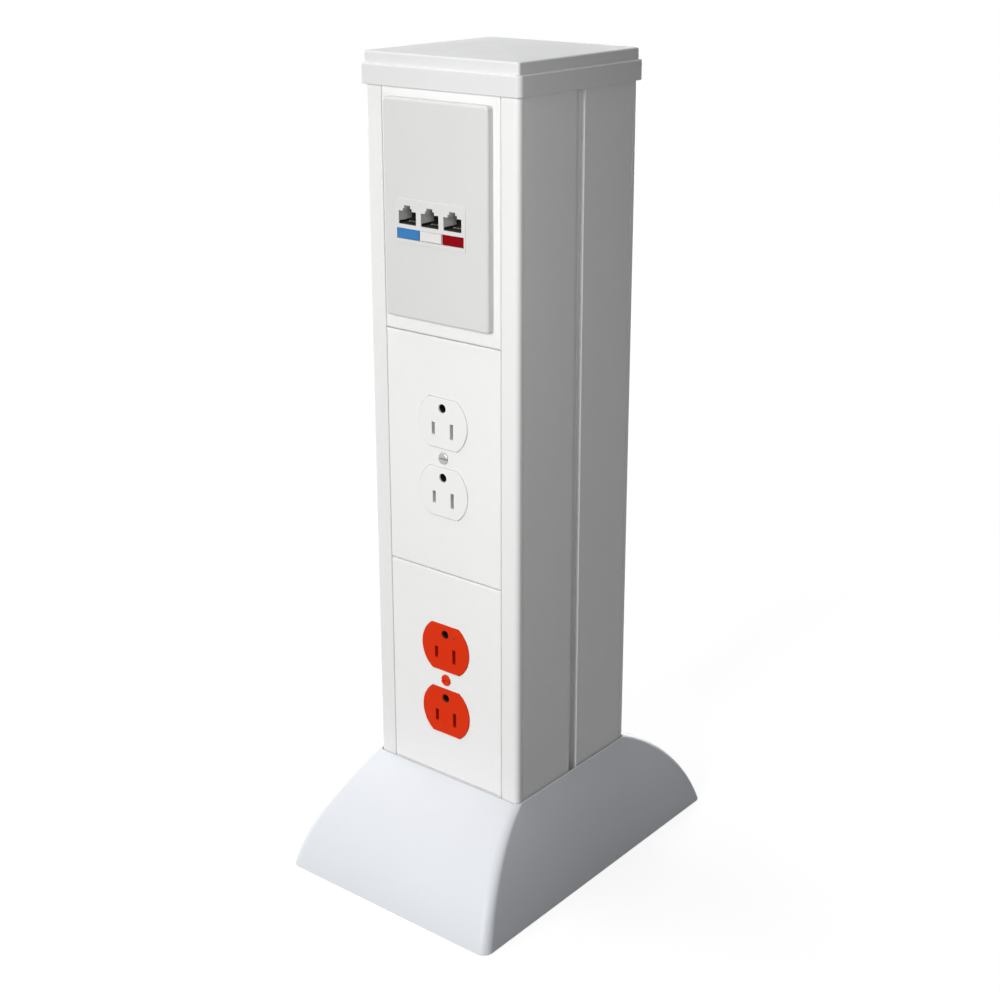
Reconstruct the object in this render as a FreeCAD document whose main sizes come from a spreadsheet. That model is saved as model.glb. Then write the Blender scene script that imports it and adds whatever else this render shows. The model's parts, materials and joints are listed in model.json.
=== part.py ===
import FreeCAD, Part

import math
import operator
import os
from types import SimpleNamespace

import Sketcher

# Driving dimensions of the mini power column in millimetres: name, value, meaning
SIZES = [
    ("column_width", 101.6, "column, side to side"),
    ("column_depth", 101.6, "column, front to back"),
    ("column_top", 452.5, "height of the column's upper end"),
    ("side_wall", 2.2, "side wall of the extrusion"),
    ("web_wall", 2.5, "web in the middle of the column, each half"),
    ("corner_radius", 3.0, "rounding of the column's corners"),
    ("lip_width", 11.3, "lip beside the front and rear opening"),
    ("lip_depth", 5.8, "how far the lip turns inwards"),
    ("lip_wall", 1.8, "wall of the lip's inward turn"),
    ("edge_round", 0.8, "rounding of lip edges"),
    ("groove_width", 7.0, "groove in the middle of each side"),
    ("groove_depth", 3.5, "depth of the side groove"),
    ("score_offset", 4.6, "corner to the fine line on the side"),
    ("score_size", 0.5, "width and depth of the fine line"),
    ("ledge_inner", 33.5, "centre to the inner edge of the device ledge"),
    ("ledge_wall", 2.0, "device ledge"),
    ("web_screw_spread", 25.0, "centre to each web screw"),
    ("web_screw_low", 140.0, "height of the lowest web screws"),
    ("web_screw_mid", 230.0, "height of the middle web screws"),
    ("web_screw_high", 330.0, "height of the upper web screws"),
    ("cable_hole", 12.0, "radius of the cable hole in the web"),
    ("cable_height", 400.0, "height of the cable hole"),
    ("bushing_bore", 9.5, "radius of the bushing's bore"),
    ("bushing_flange", 15.0, "radius of the bushing's flange"),
    ("bushing_lip", 2.0, "thickness of the bushing's flange"),
    ("plate_margin", 7.0, "foot of the skirt to the edge of the base plate"),
    ("plate_wall", 4.8, "base plate thickness"),
    ("plate_corner", 6.0, "rounding of the base plate's corners"),
    ("floor_hole", 3.5, "radius of the floor screw holes"),
    ("floor_margin_x", 14.0, "floor holes to the plate's left and right edges"),
    ("floor_margin_y", 15.0, "floor holes to the plate's front and rear edges"),
    ("entry_radius", 14.1, "radius of the cable entries in the base plate"),
    ("entry_offset", 23.0, "column centre to each cable entry"),
    ("foot_width", 20.0, "foot bracket width"),
    ("foot_spread", 60.0, "left to right foot brackets"),
    ("foot_reach", 30.0, "foot bracket's leg along the base plate"),
    ("foot_height", 40.0, "foot bracket's leg up the web"),
    ("foot_wall", 3.0, "foot bracket thickness"),
    ("foot_bend", 3.0, "outer rounding of the foot bracket's bend"),
    ("foot_bolt_height", 30.0, "height of the foot bolts"),
    ("foot_screw_offset", 21.0, "column centre to the foot screws"),
    ("bolt_radius", 2.95, "foot bolt shank radius"),
    ("bolt_head", 5.5, "foot bolt head and nut, corner radius"),
    ("bolt_head_height", 4.0, "foot bolt head height"),
    ("nut_height", 5.0, "foot bolt nut height"),
    ("hole_gap", 0.15, "clearance round a screw in its hole"),
    ("web_screw_radius", 1.95, "web screw shank radius"),
    ("web_screw_head", 3.8, "web screw head radius"),
    ("web_head_height", 2.6, "web screw head height"),
    ("web_nut", 4.0, "web nut corner radius"),
    ("web_nut_height", 3.2, "web nut height"),
    ("thread_end", 1.5, "thread standing out of a nut"),
    ("skirt_width", 146.0, "base skirt, side to side on the floor"),
    ("skirt_length", 212.0, "base skirt, front to back on the floor"),
    ("skirt_height", 59.0, "base skirt height"),
    ("skirt_wall", 3.0, "base skirt wall"),
    ("skirt_gap", 0.4, "clearance between skirt and column"),
    ("skirt_brim", 0.9, "flat brim round the top of the skirt"),
    ("skirt_bulge_side", 2.8, "bulge of the skirt's left and right slopes"),
    ("skirt_bulge_end", 8.6, "bulge of the skirt's front and rear slopes"),
    ("skirt_corner", 5.5, "rounding of the skirt's mitred corners"),
    ("cap_bottom", 443.2, "height of the cap's lower edge"),
    ("cap_rim", 10.6, "height of the cap's rim"),
    ("cap_height", 20.0, "cap, lower edge to the crown"),
    ("cap_overhang", 2.0, "cap rim beyond the column"),
    ("cap_step", 1.8, "rim to the upper band"),
    ("cap_gap", 0.4, "clearance between cap and column"),
    ("cap_wall", 2.6, "wall of the cap's top"),
    ("cap_rim_corner", 3.2, "rounding of the rim's corners"),
    ("cap_band_corner", 1.6, "rounding of the upper band's corners"),
    ("crown_radius", 750.0, "radius of the domed top"),
    ("crown_edge", 0.7, "rounding of the cap's top edge"),
    ("blade_wall", 2.0, "cap's locating blades"),
    ("blade_near", 12.0, "centre to the near edge of a blade"),
    ("blade_far", 36.0, "centre to the far edge of a blade"),
    ("blade_drop", 14.0, "how far the blades reach into the column"),
    ("cover_gap", 0.3, "clearance between cover and lip"),
    ("cover_wall", 2.0, "cover thickness"),
    ("cover_leg", 1.6, "thickness of the cover's legs"),
    ("cover_depth", 5.0, "depth of the cover with its legs"),
    ("cover_round", 1.0, "rounding of the cover's front edges"),
    ("joint_gap", 0.4, "gap between two covers"),
    ("skirt_joint", 0.2, "gap between skirt and cover"),
    ("cap_joint", 0.25, "gap between cap and rear cover"),
    ("joint_low", 183.2, "height of the joint between the outlet covers"),
    ("joint_high", 315.6, "height of the joint under the data module"),
    ("bracket_setback", 7.5, "column face to the device bracket"),
    ("bracket_wall", 1.5, "device bracket thickness"),
    ("bracket_gap", 0.5, "device bracket to the side wall"),
    ("bracket_height", 112.0, "device bracket height"),
    ("bracket_screw_x", 36.3, "centre to the device bracket's screws"),
    ("bracket_screw_z", 47.0, "bracket centre to its screws, upwards"),
    ("bracket_screw_radius", 1.6, "device bracket screw shank radius"),
    ("bracket_screw_head", 2.9, "device bracket screw head radius"),
    ("bracket_screw_length", 5.8, "device bracket screw shank"),
    ("bracket_window_x", 20.0, "half width of the outlet window"),
    ("bracket_window_z", 35.0, "half height of the outlet window"),
    ("data_window_x", 29.0, "half width of the data bracket's window"),
    ("data_window_z", 30.0, "half height of the data bracket's window"),
    ("lower_outlet_height", 118.6, "height of the lower outlet's centre"),
    ("outlet_spacing", 38.9, "between the two sockets of an outlet"),
    ("nose_radius", 16.9, "socket face radius"),
    ("nose_half", 13.9, "socket face centre to its flat"),
    ("nose_gap", 0.25, "clearance round a socket face in its cover"),
    ("nose_proud", 0.5, "socket face in front of the cover"),
    ("nose_bevel", 0.3, "bevel of the socket face"),
    ("face_wall", 3.0, "outlet face behind the cover"),
    ("device_width", 33.0, "outlet body width"),
    ("device_height", 67.0, "outlet body height"),
    ("device_depth", 22.0, "outlet body behind the strap"),
    ("device_wall", 1.8, "outlet body wall"),
    ("device_round", 1.5, "rounding of the outlet body"),
    ("slot_spread", 12.7, "between the two blade slots"),
    ("slot_width", 2.2, "blade slot width"),
    ("hot_slot", 7.0, "short blade slot"),
    ("neutral_slot", 8.6, "long blade slot"),
    ("slot_drop", 3.4, "socket centre down to the blade slots"),
    ("ground_rise", 8.5, "socket centre up to the ground hole"),
    ("ground_radius", 2.5, "ground hole radius"),
    ("face_screw_hole", 2.35, "radius of the cover screw's hole in the outlet face"),
    ("strap_length", 106.0, "outlet strap length"),
    ("strap_width", 19.0, "outlet strap width"),
    ("strap_wall", 1.2, "outlet strap thickness"),
    ("strap_corner", 2.0, "rounding of the strap's corners"),
    ("strap_slot", 3.5, "width of the strap's slots"),
    ("strap_ground_hole", 3.0, "radius of the strap's ground holes"),
    ("strap_spacing", 83.3, "between the strap's screws"),
    ("strap_screw_radius", 1.7, "strap screw shank radius"),
    ("strap_head", 3.4, "strap screw head radius"),
    ("strap_head_height", 1.9, "strap screw head height"),
    ("strap_screw_length", 6.0, "strap screw shank"),
    ("contact_wall", 0.8, "contact metal"),
    ("blade_room", 1.8, "room between the leaves of a contact"),
    ("contact_half", 4.0, "contact centre to its edge"),
    ("contact_front", 2.3, "strap to the front of the contacts"),
    ("contact_depth", 11.0, "depth of the contacts"),
    ("tab_half", 14.0, "half height of a terminal plate"),
    ("tab_leg", 6.0, "half height of the leg to a terminal plate"),
    ("tab_near", 3.3, "strap to the near edge of a terminal plate"),
    ("tab_far", 14.3, "strap to the far edge of a terminal plate"),
    ("leg_setback", 7.3, "strap to the leg of a contact"),
    ("terminal_setback", 11.0, "strap to the terminal screws"),
    ("terminal_spread", 9.0, "outlet centre to the terminal screws"),
    ("terminal_head", 3.2, "terminal screw head radius"),
    ("terminal_head_height", 1.9, "terminal screw head height"),
    ("terminal_radius", 1.75, "terminal screw shank radius"),
    ("terminal_length", 4.3, "terminal screw shank"),
    ("clip_outer", 3.6, "outer radius of the ground clip"),
    ("clip_inner", 2.7, "inner radius of the ground clip"),
    ("ground_strip", 4.3, "width of the strip between the ground clips"),
    ("ground_terminal", 28.4, "outlet centre down to the ground screw"),
    ("ground_setback", 9.0, "strap to the ground screw"),
    ("ground_leg", 1.2, "half height of the ground leg"),
    ("plate_screw_radius", 1.6, "cover screw shank radius"),
    ("plate_screw_head", 3.3, "cover screw head radius"),
    ("plate_screw_sink", 1.5, "depth of the cover screw's countersink"),
    ("plate_screw_crown", 0.7, "height of the cover screw's crown"),
    ("plate_screw_round", 0.6, "rounding of the cover screw's crown"),
    ("plate_screw_length", 10.5, "cover screw shank with its head"),
    ("screw_slot_width", 0.9, "slot in a screw head"),
    ("screw_slot_depth", 0.9, "depth of the slot in a screw head"),
    ("barrier_wall", 1.0, "barrier thickness"),
    ("barrier_flange", 26.0, "height of the barrier's flange"),
    ("barrier_gap", 0.4, "barrier to the side walls and the ledge"),
    ("data_height", 381.2, "height of the data plate's centre"),
    ("data_width", 69.9, "data plate width"),
    ("data_length", 114.3, "data plate height"),
    ("data_depth", 4.5, "data plate thickness"),
    ("data_wall", 2.2, "data plate wall"),
    ("data_corner", 2.0, "rounding of the data plate's corners"),
    ("data_round", 1.6, "rounding of the data plate's front edges"),
    ("bezel_window_x", 29.0, "half width of the bezel's window"),
    ("bezel_margin", 1.35, "carrier ring's bosses to the ends of the bezel's window"),
    ("carrier_wall", 1.4, "carrier ring thickness"),
    ("carrier_gap", 0.25, "carrier ring to the data plate"),
    ("carrier_window_x", 28.0, "half width of the carrier ring's window"),
    ("carrier_window_z", 31.0, "half height of the carrier ring's window"),
    ("boss_radius", 5.0, "carrier ring's screw bosses"),
    ("boss_sink", 2.2, "depth of the screw head's seat in a boss"),
    ("carrier_screw_length", 11.5, "carrier screw shank"),
    ("port_offset", -3.0, "data plate centre to the middle port"),
    ("port_pitch", 15.2, "between two ports"),
    ("frame_width", 47.2, "port frame width"),
    ("frame_low", 364.4, "lower edge of the port frame"),
    ("frame_high", 387.4, "upper edge of the port frame"),
    ("frame_proud", 0.35, "port frame in front of the data plate"),
    ("frame_brim", 1.1, "port frame's brim"),
    ("frame_round", 0.25, "rounding of the port frame's front edges"),
    ("frame_depth", 9.9, "port frame depth"),
    ("frame_wall", 2.4, "port frame's front wall"),
    ("frame_gap", 0.1, "port frame to the data plate's opening"),
    ("port_floor", 374.1, "height of the lower edge of the ports"),
    ("port_width", 11.9, "port opening width"),
    ("port_height", 6.9, "port opening height"),
    ("key_wide", 6.2, "wide step of the key notch"),
    ("key_narrow", 4.0, "narrow step of the key notch"),
    ("key_step", 1.5, "height of each step of the key notch"),
    ("jack_width", 13.8, "jack body width"),
    ("jack_drop", 2.4, "jack body under the port's lower edge"),
    ("jack_height", 13.4, "jack body height"),
    ("jack_depth", 22.0, "jack body depth"),
    ("jack_gap", 0.1, "jack body to the port frame"),
    ("port_depth", 14.0, "depth of the port inside the jack"),
    ("pin_pitch", 1.02, "between two contact wires"),
    ("pin_wall", 0.4, "contact wire thickness"),
    ("pin_reach", 11.1, "back of the port to the wire's bend"),
    ("pin_tip", 4.0, "back of the port to the wire's tip"),
    ("pin_rise", 1.9, "rise of the wire's tip"),
    ("jack_cap_depth", 4.5, "jack's rear cap"),
    ("cap_slot_width", 1.3, "wire slot in the rear cap"),
    ("cap_slot_pitch", 2.8, "between two wire slots"),
    ("cap_slot_depth", 4.0, "depth of a wire slot"),
    ("tab_width", 14.4, "marker tab width"),
    ("tab_height", 5.2, "marker tab height"),
    ("tab_bottom", 366.6, "height of the marker tabs' lower edge"),
    ("tab_recess", 1.4, "depth of the marker tabs' recess"),
    ("tab_wall", 1.1, "marker tab thickness"),
    ("tab_edge", 0.3, "bevel of the marker tabs"),
    ("tab_gap", 0.2, "clearance round the marker tabs"),
]


class Length:
    """A length in millimetres together with its formula over the sheet's cells."""

    def __init__(self, value, formula):
        self.value = value
        self.formula = formula

    def __add__(self, other):
        return combined(operator.add, "+", self, other)

    def __radd__(self, other):
        return combined(operator.add, "+", other, self)

    def __sub__(self, other):
        return combined(operator.sub, "-", self, other)

    def __rsub__(self, other):
        return combined(operator.sub, "-", other, self)

    def __mul__(self, other):
        return combined(operator.mul, "*", self, other)

    def __rmul__(self, other):
        return combined(operator.mul, "*", other, self)

    def __truediv__(self, other):
        return combined(operator.truediv, "/", self, other)

    def __neg__(self):
        return combined(operator.sub, "-", 0, self)


def as_length(amount):
    """A plain number as a Length; a Length stays as it is."""
    if isinstance(amount, Length):
        return amount
    return Length(float(amount), repr(float(amount)))


def combined(action, sign, left, right):
    """Two lengths joined by one operation, in value and in formula."""
    left = as_length(left)
    right = as_length(right)
    return Length(action(left.value, right.value), f"({left.formula} {sign} {right.formula})")


doc = FreeCAD.newDocument("mini_power_column")
sheet = doc.addObject("Spreadsheet::Sheet", "Sizes")
size = SimpleNamespace()
for row, (alias, value, meaning) in enumerate(SIZES, start=1):
    sheet.set(f"A{row}", alias)
    sheet.set(f"B{row}", str(value))
    sheet.set(f"C{row}", meaning)
    sheet.setAlias(f"B{row}", alias)
    setattr(size, alias, Length(value, f"Sizes.{alias}"))
doc.recompute()

# Turns that carry the +Z axis onto each direction
TURNS = {
    "+Z": FreeCAD.Rotation(),
    "-Z": FreeCAD.Rotation(FreeCAD.Vector(1, 0, 0), 180),
    "+X": FreeCAD.Rotation(FreeCAD.Vector(0, 1, 0), 90),
    "-X": FreeCAD.Rotation(FreeCAD.Vector(0, 1, 0), -90),
    "+Y": FreeCAD.Rotation(FreeCAD.Vector(1, 0, 0), -90),
    "-Y": FreeCAD.Rotation(FreeCAD.Vector(1, 0, 0), 90),
}
# Sketch planes, with the sign of their normal along the third axis
PLANE_NORMALS = {"XY": 1, "XZ": -1, "YZ": 1}
# How close a point or level must be to count as the one asked for
TOLERANCE = 1e-3
# Share of a screw head's height that is rounded
HEAD_ROUND = 0.35
# A tool body is this far longer than the cut that it makes
OVERRUN = 1.0
PIN_COUNT = 8
WIRE_SLOT_COUNT = 4
nodes = []


def node(label, item):
    """Name a finished sub-part and keep it for writing."""
    item.Label = label
    nodes.append(item)
    return item


def bind(item, path, amount):
    """Tie a property to its formula."""
    item.setExpression(path, as_length(amount).formula)


def place(item, at, toward="+Z"):
    """Turn a piece's Z axis to a direction and put its origin at a point."""
    item.Placement = FreeCAD.Placement(FreeCAD.Vector(), TURNS[toward])
    for axis, amount in zip("xyz", at):
        bind(item, f"Placement.Base.{axis}", amount)
    return item


def about(centre, width):
    """The low and high limits of a width about its centre."""
    return (centre - width / 2, centre + width / 2)


def outward(end, near, far):
    """Limits on the side that end gives: 1 is the positive side and -1 the negative one."""
    return (near, far) if end > 0 else (-far, -near)


def block(across, along, up):
    """A box given by its low and high limits on X, Y and Z."""
    item = doc.addObject("Part::Box", "Block")
    for name, (low, high) in zip(("Length", "Width", "Height"), (across, along, up)):
        bind(item, name, as_length(high) - low)
    return place(item, (across[0], along[0], up[0]))


def rod(radius, reach, at, toward="+Z"):
    """A cylinder from a point towards a direction."""
    item = doc.addObject("Part::Cylinder", "Rod")
    bind(item, "Radius", radius)
    bind(item, "Height", reach)
    return place(item, at, toward)


def cone(start_radius, end_radius, reach, at, toward="+Z"):
    """A cone from a point towards a direction."""
    item = doc.addObject("Part::Cone", "Cone")
    bind(item, "Radius1", start_radius)
    bind(item, "Radius2", end_radius)
    bind(item, "Height", reach)
    return place(item, at, toward)


def hexagon(corner_radius, height, at, toward="+Z"):
    """A six-sided prism from a point towards a direction."""
    item = doc.addObject("Part::Prism", "Hexagon")
    item.Polygon = 6
    bind(item, "Circumradius", corner_radius)
    bind(item, "Height", height)
    return place(item, at, toward)


def fuse(*items):
    """Pieces joined to one solid."""
    item = doc.addObject("Part::MultiFuse", "Fusion")
    item.Shapes = list(items)
    item.Refine = True
    return item


def cut(base, *tools):
    """A piece with others taken away from it."""
    item = doc.addObject("Part::Cut", "Cut")
    item.Base = base
    item.Tool = tools[0] if len(tools) == 1 else fuse(*tools)
    return item


def common(first, second):
    """What two pieces share."""
    item = doc.addObject("Part::Common", "Common")
    item.Base = first
    item.Tool = second
    return item


def group(label, source, spots):
    """Separate copies of one piece, each placed at a point and turned to a direction."""
    links = []
    for at, toward in spots:
        link = doc.addObject("App::Link", "Copy")
        link.LinkedObject = source
        links.append(place(link, at, toward))
    item = doc.addObject("Part::Compound", "Group")
    item.Links = links
    return node(label, item)


def dimension(sketch, kind, geometry, point, amount):
    """Fix one coordinate of a sketch point by its formula."""
    amount = as_length(amount)
    number = sketch.addConstraint(Sketcher.Constraint(kind, geometry, point, amount.value))
    sketch.setExpression(f"Constraints[{number}]", amount.formula)


def radius_dimension(sketch, geometry, amount):
    """Fix a circle's or arc's radius by its formula."""
    number = sketch.addConstraint(Sketcher.Constraint("Radius", geometry, amount.value))
    sketch.setExpression(f"Constraints[{number}]", amount.formula)


def polygon(sketch, points):
    """A closed outline of straight lines through points."""
    corners = [FreeCAD.Vector(as_length(u).value, as_length(v).value, 0) for u, v in points]
    first = sketch.GeometryCount
    for start, end in zip(corners, corners[1:] + corners[:1]):
        sketch.addGeometry(Part.LineSegment(start, end), False)
    for index, (u, v) in enumerate(points):
        line = first + index
        following = first + (index + 1) % len(points)
        sketch.addConstraint(Sketcher.Constraint("Coincident", line, 2, following, 1))
        dimension(sketch, "DistanceX", line, 1, u)
        dimension(sketch, "DistanceY", line, 1, v)


def rectangle(sketch, across, up):
    """A closed rectangle between its limits."""
    polygon(sketch, [(across[0], up[0]), (across[1], up[0]), (across[1], up[1]), (across[0], up[1])])


def circle(sketch, centre, radius):
    """A circle about a centre."""
    u, v = (as_length(amount) for amount in centre)
    middle = FreeCAD.Vector(u.value, v.value, 0)
    radius = as_length(radius)
    number = sketch.addGeometry(Part.Circle(middle, FreeCAD.Vector(0, 0, 1), radius.value), False)
    dimension(sketch, "DistanceX", number, 3, u)
    dimension(sketch, "DistanceY", number, 3, v)
    radius_dimension(sketch, number, radius)


def flatted_circle(sketch, centre, radius, half):
    """A circle cut flat above and below its centre: two arcs joined by two lines."""
    u, v = (as_length(amount) for amount in centre)
    middle = FreeCAD.Vector(u.value, v.value, 0)
    round_shape = Part.Circle(middle, FreeCAD.Vector(0, 0, 1), radius.value)
    reach = math.asin(half.value / radius.value)
    arcs = []
    for start in (-reach, math.pi - reach):
        arc = sketch.addGeometry(Part.ArcOfCircle(round_shape, start, start + 2 * reach), False)
        dimension(sketch, "DistanceX", arc, 3, u)
        dimension(sketch, "DistanceY", arc, 3, v)
        radius_dimension(sketch, arc, radius)
        arcs.append(arc)
    right, left = arcs
    dimension(sketch, "DistanceY", right, 1, v - half)
    dimension(sketch, "DistanceY", right, 2, v + half)
    dimension(sketch, "DistanceY", left, 1, v + half)
    dimension(sketch, "DistanceY", left, 2, v - half)
    for start_arc, end_arc, height, side in ((right, left, 1, 1), (left, right, -1, -1)):
        span = side * radius.value * math.cos(reach)
        level = v.value + height * half.value
        start = FreeCAD.Vector(u.value + span, level, 0)
        end = FreeCAD.Vector(u.value - span, level, 0)
        line = sketch.addGeometry(Part.LineSegment(start, end), False)
        sketch.addConstraint(Sketcher.Constraint("Coincident", line, 1, start_arc, 2))
        sketch.addConstraint(Sketcher.Constraint("Coincident", line, 2, end_arc, 1))


def draw(sketch, outlines):
    """Draw each outline, given as its function followed by its values."""
    for shape, *values in outlines:
        shape(sketch, *values)
    return sketch


def body_sketch(body, plane, level, outlines):
    """A sketch of a body, parallel to one of its origin planes."""
    origin = next(item for item in body.Origin.OriginFeatures if item.Role == plane + "_Plane")
    sketch = body.newObject("Sketcher::SketchObject", "Outline")
    sketch.AttachmentSupport = [(origin, "")]
    sketch.MapMode = "FlatFace"
    bind(sketch, "AttachmentOffset.Base.z", PLANE_NORMALS[plane] * as_length(level))
    return draw(sketch, outlines)


def pad(body, plane, span, *outlines):
    """Material between two levels along a plane's axis."""
    feature = body.newObject("PartDesign::Pad", "Pad")
    feature.Profile = body_sketch(body, plane, span[0], outlines)
    feature.Reversed = PLANE_NORMALS[plane] < 0
    bind(feature, "Length", as_length(span[1]) - span[0])
    return feature


def pocket(body, plane, span, *outlines):
    """A cut between two levels along a plane's axis."""
    feature = body.newObject("PartDesign::Pocket", "Pocket")
    feature.Profile = body_sketch(body, plane, span[0], outlines)
    feature.Reversed = PLANE_NORMALS[plane] > 0
    bind(feature, "Length", as_length(span[1]) - span[0])
    return feature


def new_body(name, plane, span, *outlines):
    """A body whose first feature is a pad."""
    body = doc.addObject("PartDesign::Body", name)
    pad(body, plane, span, *outlines)
    return body


def along_axis(axis, *spots):
    """Choose straight edges along an axis that pass through one of the given spots."""
    others = [other for other in "xyz" if other != axis]

    def chosen(edge):
        ends = [vertex.Point for vertex in edge.Vertexes]
        if len(ends) != 2:
            return False
        for spot in spots:
            offsets = [
                abs(getattr(end, other) - as_length(amount).value)
                for end in ends
                for other, amount in zip(others, spot)
            ]
            if max(offsets) < TOLERANCE:
                return True
        return False

    return chosen


def on_plane(axis, level):
    """Choose edges that lie in a plane square to an axis."""

    def chosen(edge):
        box = edge.BoundBox
        lows = {"x": box.XMin, "y": box.YMin, "z": box.ZMin}
        highs = {"x": box.XMax, "y": box.YMax, "z": box.ZMax}
        target = as_length(level).value
        return abs(lows[axis] - target) < TOLERANCE and abs(highs[axis] - target) < TOLERANCE

    return chosen


def ease(body, radius, chosen, kind="Fillet"):
    """Round or bevel the chosen edges of a body."""
    doc.recompute()
    base = body.Tip
    names = [f"Edge{number}" for number, edge in enumerate(base.Shape.Edges, start=1) if chosen(edge)]
    feature = body.newObject("PartDesign::" + kind, kind)
    feature.Base = (base, names)
    bind(feature, "Radius" if kind == "Fillet" else "Size", radius)
    return feature


def ease_solid(base, radius, chosen):
    """Round the chosen edges of a solid that isn't a body."""
    doc.recompute()
    item = doc.addObject("Part::Fillet", "Fillet")
    item.Base = base
    item.Edges = [
        (number, radius.value, radius.value)
        for number, edge in enumerate(base.Shape.Edges, start=1)
        if chosen(edge)
    ]
    return item


# Levels that several pieces share
half_width = size.column_width / 2
half_depth = size.column_depth / 2
front_face = -half_depth
lip_edge = half_width - size.lip_width
cover_edge = lip_edge - size.cover_gap
bracket_front = front_face + size.bracket_setback
bracket_back = bracket_front + size.bracket_wall
wall_inside = half_width - size.side_wall
strap_front = bracket_front - size.strap_wall
upper_outlet_height = (size.joint_low + size.joint_high) / 2
strap_half = size.strap_spacing / 2
cap_top = size.cap_bottom + size.cap_height
plate_half_x = size.skirt_width / 2 - size.plate_margin
plate_half_y = size.skirt_length / 2 - size.plate_margin
plate_front = front_face - size.data_depth
frame_front = plate_front - size.frame_proud
jack_front = frame_front + size.frame_wall
jack_back = jack_front + size.jack_depth
port_back = jack_front + size.port_depth
recess_floor = frame_front + size.tab_recess
foot_back = size.web_wall + size.foot_wall
SIDES = (-1, 1)


def web_screw_places():
    """Where the web screws pass: across, height, and metal in front of the web."""
    heights = [
        (size.web_screw_low, 0),
        (size.web_screw_mid, 0),
        (size.web_screw_high, size.barrier_wall),
    ]
    return [(side * size.web_screw_spread, height, extra) for height, extra in heights for side in SIDES]


def bracket_screw_places(centre):
    """Where a device bracket's screws pass: across and height."""
    return [
        (across * size.bracket_screw_x, centre + upward * size.bracket_screw_z)
        for across in SIDES
        for upward in SIDES
    ]


def column_half(label, side):
    """Half of the column, an open channel; side is -1 at the front and 1 at the rear."""
    groove_edge = size.groove_width / 2
    groove_floor = half_width - size.groove_depth
    groove_inside = groove_floor - size.side_wall
    score_far = half_depth - size.score_offset
    score_near = score_far - size.score_size
    ledge_front = half_depth - size.bracket_setback - size.bracket_wall
    ledge_back = ledge_front - size.ledge_wall
    right = [
        (groove_floor, 0),
        (groove_floor, groove_edge),
        (half_width, groove_edge),
        (half_width, score_near),
        (half_width - size.score_size, score_near),
        (half_width - size.score_size, score_far),
        (half_width, score_far),
        (half_width, half_depth),
        (lip_edge, half_depth),
        (lip_edge, half_depth - size.lip_depth),
        (lip_edge + size.lip_wall, half_depth - size.lip_depth),
        (lip_edge + size.lip_wall, half_depth - size.side_wall),
        (wall_inside, half_depth - size.side_wall),
        (wall_inside, ledge_front),
        (size.ledge_inner, ledge_front),
        (size.ledge_inner, ledge_back),
        (wall_inside, ledge_back),
        (wall_inside, groove_edge + size.side_wall),
        (groove_inside, groove_edge + size.side_wall),
        (groove_inside, size.web_wall),
    ]
    left = [(-across, depth) for across, depth in reversed(right)]
    points = [(across, side * as_length(depth)) for across, depth in right + left]
    body = new_body(label, "XY", (size.plate_wall, size.column_top), (polygon, points))
    corners = along_axis("z", *[(end * half_width, side * half_depth) for end in SIDES])
    ease(body, size.corner_radius, corners)
    lips = along_axis("z", *[(end * lip_edge, side * half_depth) for end in SIDES])
    ease(body, size.edge_round, lips)
    web_span = (-size.web_wall, 0) if side < 0 else (0, size.web_wall)
    web_hole = size.web_screw_radius + size.hole_gap
    bolt_hole = size.bolt_radius + size.hole_gap
    holes = [(circle, (across, height), web_hole) for across, height, extra in web_screw_places()]
    holes += [(circle, (end * size.foot_spread / 2, size.foot_bolt_height), bolt_hole) for end in SIDES]
    holes.append((circle, (0, size.cable_height), size.cable_hole))
    pocket(body, "XZ", web_span, *holes)
    if side < 0:
        ledge_span = (bracket_back, bracket_back + size.ledge_wall)
        pilot = size.bracket_screw_radius + size.hole_gap
        pilots = [
            (circle, spot, pilot)
            for centre in (size.lower_outlet_height, upper_outlet_height, size.data_height)
            for spot in bracket_screw_places(centre)
        ]
        pocket(body, "XZ", ledge_span, *pilots)
    return node(label, body)


def base_plate():
    """Steel plate on the floor with its screw holes and cable entries."""
    tapped = size.bolt_radius + size.hole_gap
    across = plate_half_x - size.floor_margin_x
    along = plate_half_y - size.floor_margin_y
    holes = [(circle, (end * across, side * along), size.floor_hole) for end in SIDES for side in SIDES]
    holes += [(circle, (0, side * size.entry_offset), size.entry_radius) for side in SIDES]
    holes += [
        (circle, (end * size.foot_spread / 2, side * size.foot_screw_offset), tapped)
        for end in SIDES
        for side in SIDES
    ]
    outline = (rectangle, (-plate_half_x, plate_half_x), (-plate_half_y, plate_half_y))
    body = new_body("base_plate", "XY", (0, size.plate_wall), outline, *holes)
    corners = [(end * plate_half_x, side * plate_half_y) for end in SIDES for side in SIDES]
    ease(body, size.plate_corner, along_axis("z", *corners))
    return node("base_plate", body)


def foot_bracket(label, end, side):
    """Angle that carries the web on the base plate."""
    low = size.plate_wall
    points = [
        (side * size.web_wall, low),
        (side * (size.web_wall + size.foot_reach), low),
        (side * (size.web_wall + size.foot_reach), low + size.foot_wall),
        (side * foot_back, low + size.foot_wall),
        (side * foot_back, low + size.foot_height),
        (side * size.web_wall, low + size.foot_height),
    ]
    middle = end * size.foot_spread / 2
    body = new_body(label, "YZ", about(middle, size.foot_width), (polygon, points))
    ease(body, size.foot_bend, along_axis("x", (side * foot_back, low + size.foot_wall)))
    hole = size.bolt_radius + size.hole_gap
    web_span = tuple(sorted((side * size.web_wall, side * foot_back), key=lambda level: level.value))
    pocket(body, "XZ", web_span, (circle, (middle, size.foot_bolt_height), hole))
    floor_span = (low, low + size.foot_wall)
    pocket(body, "XY", floor_span, (circle, (middle, side * size.foot_screw_offset), hole))
    return node(label, body)


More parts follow.
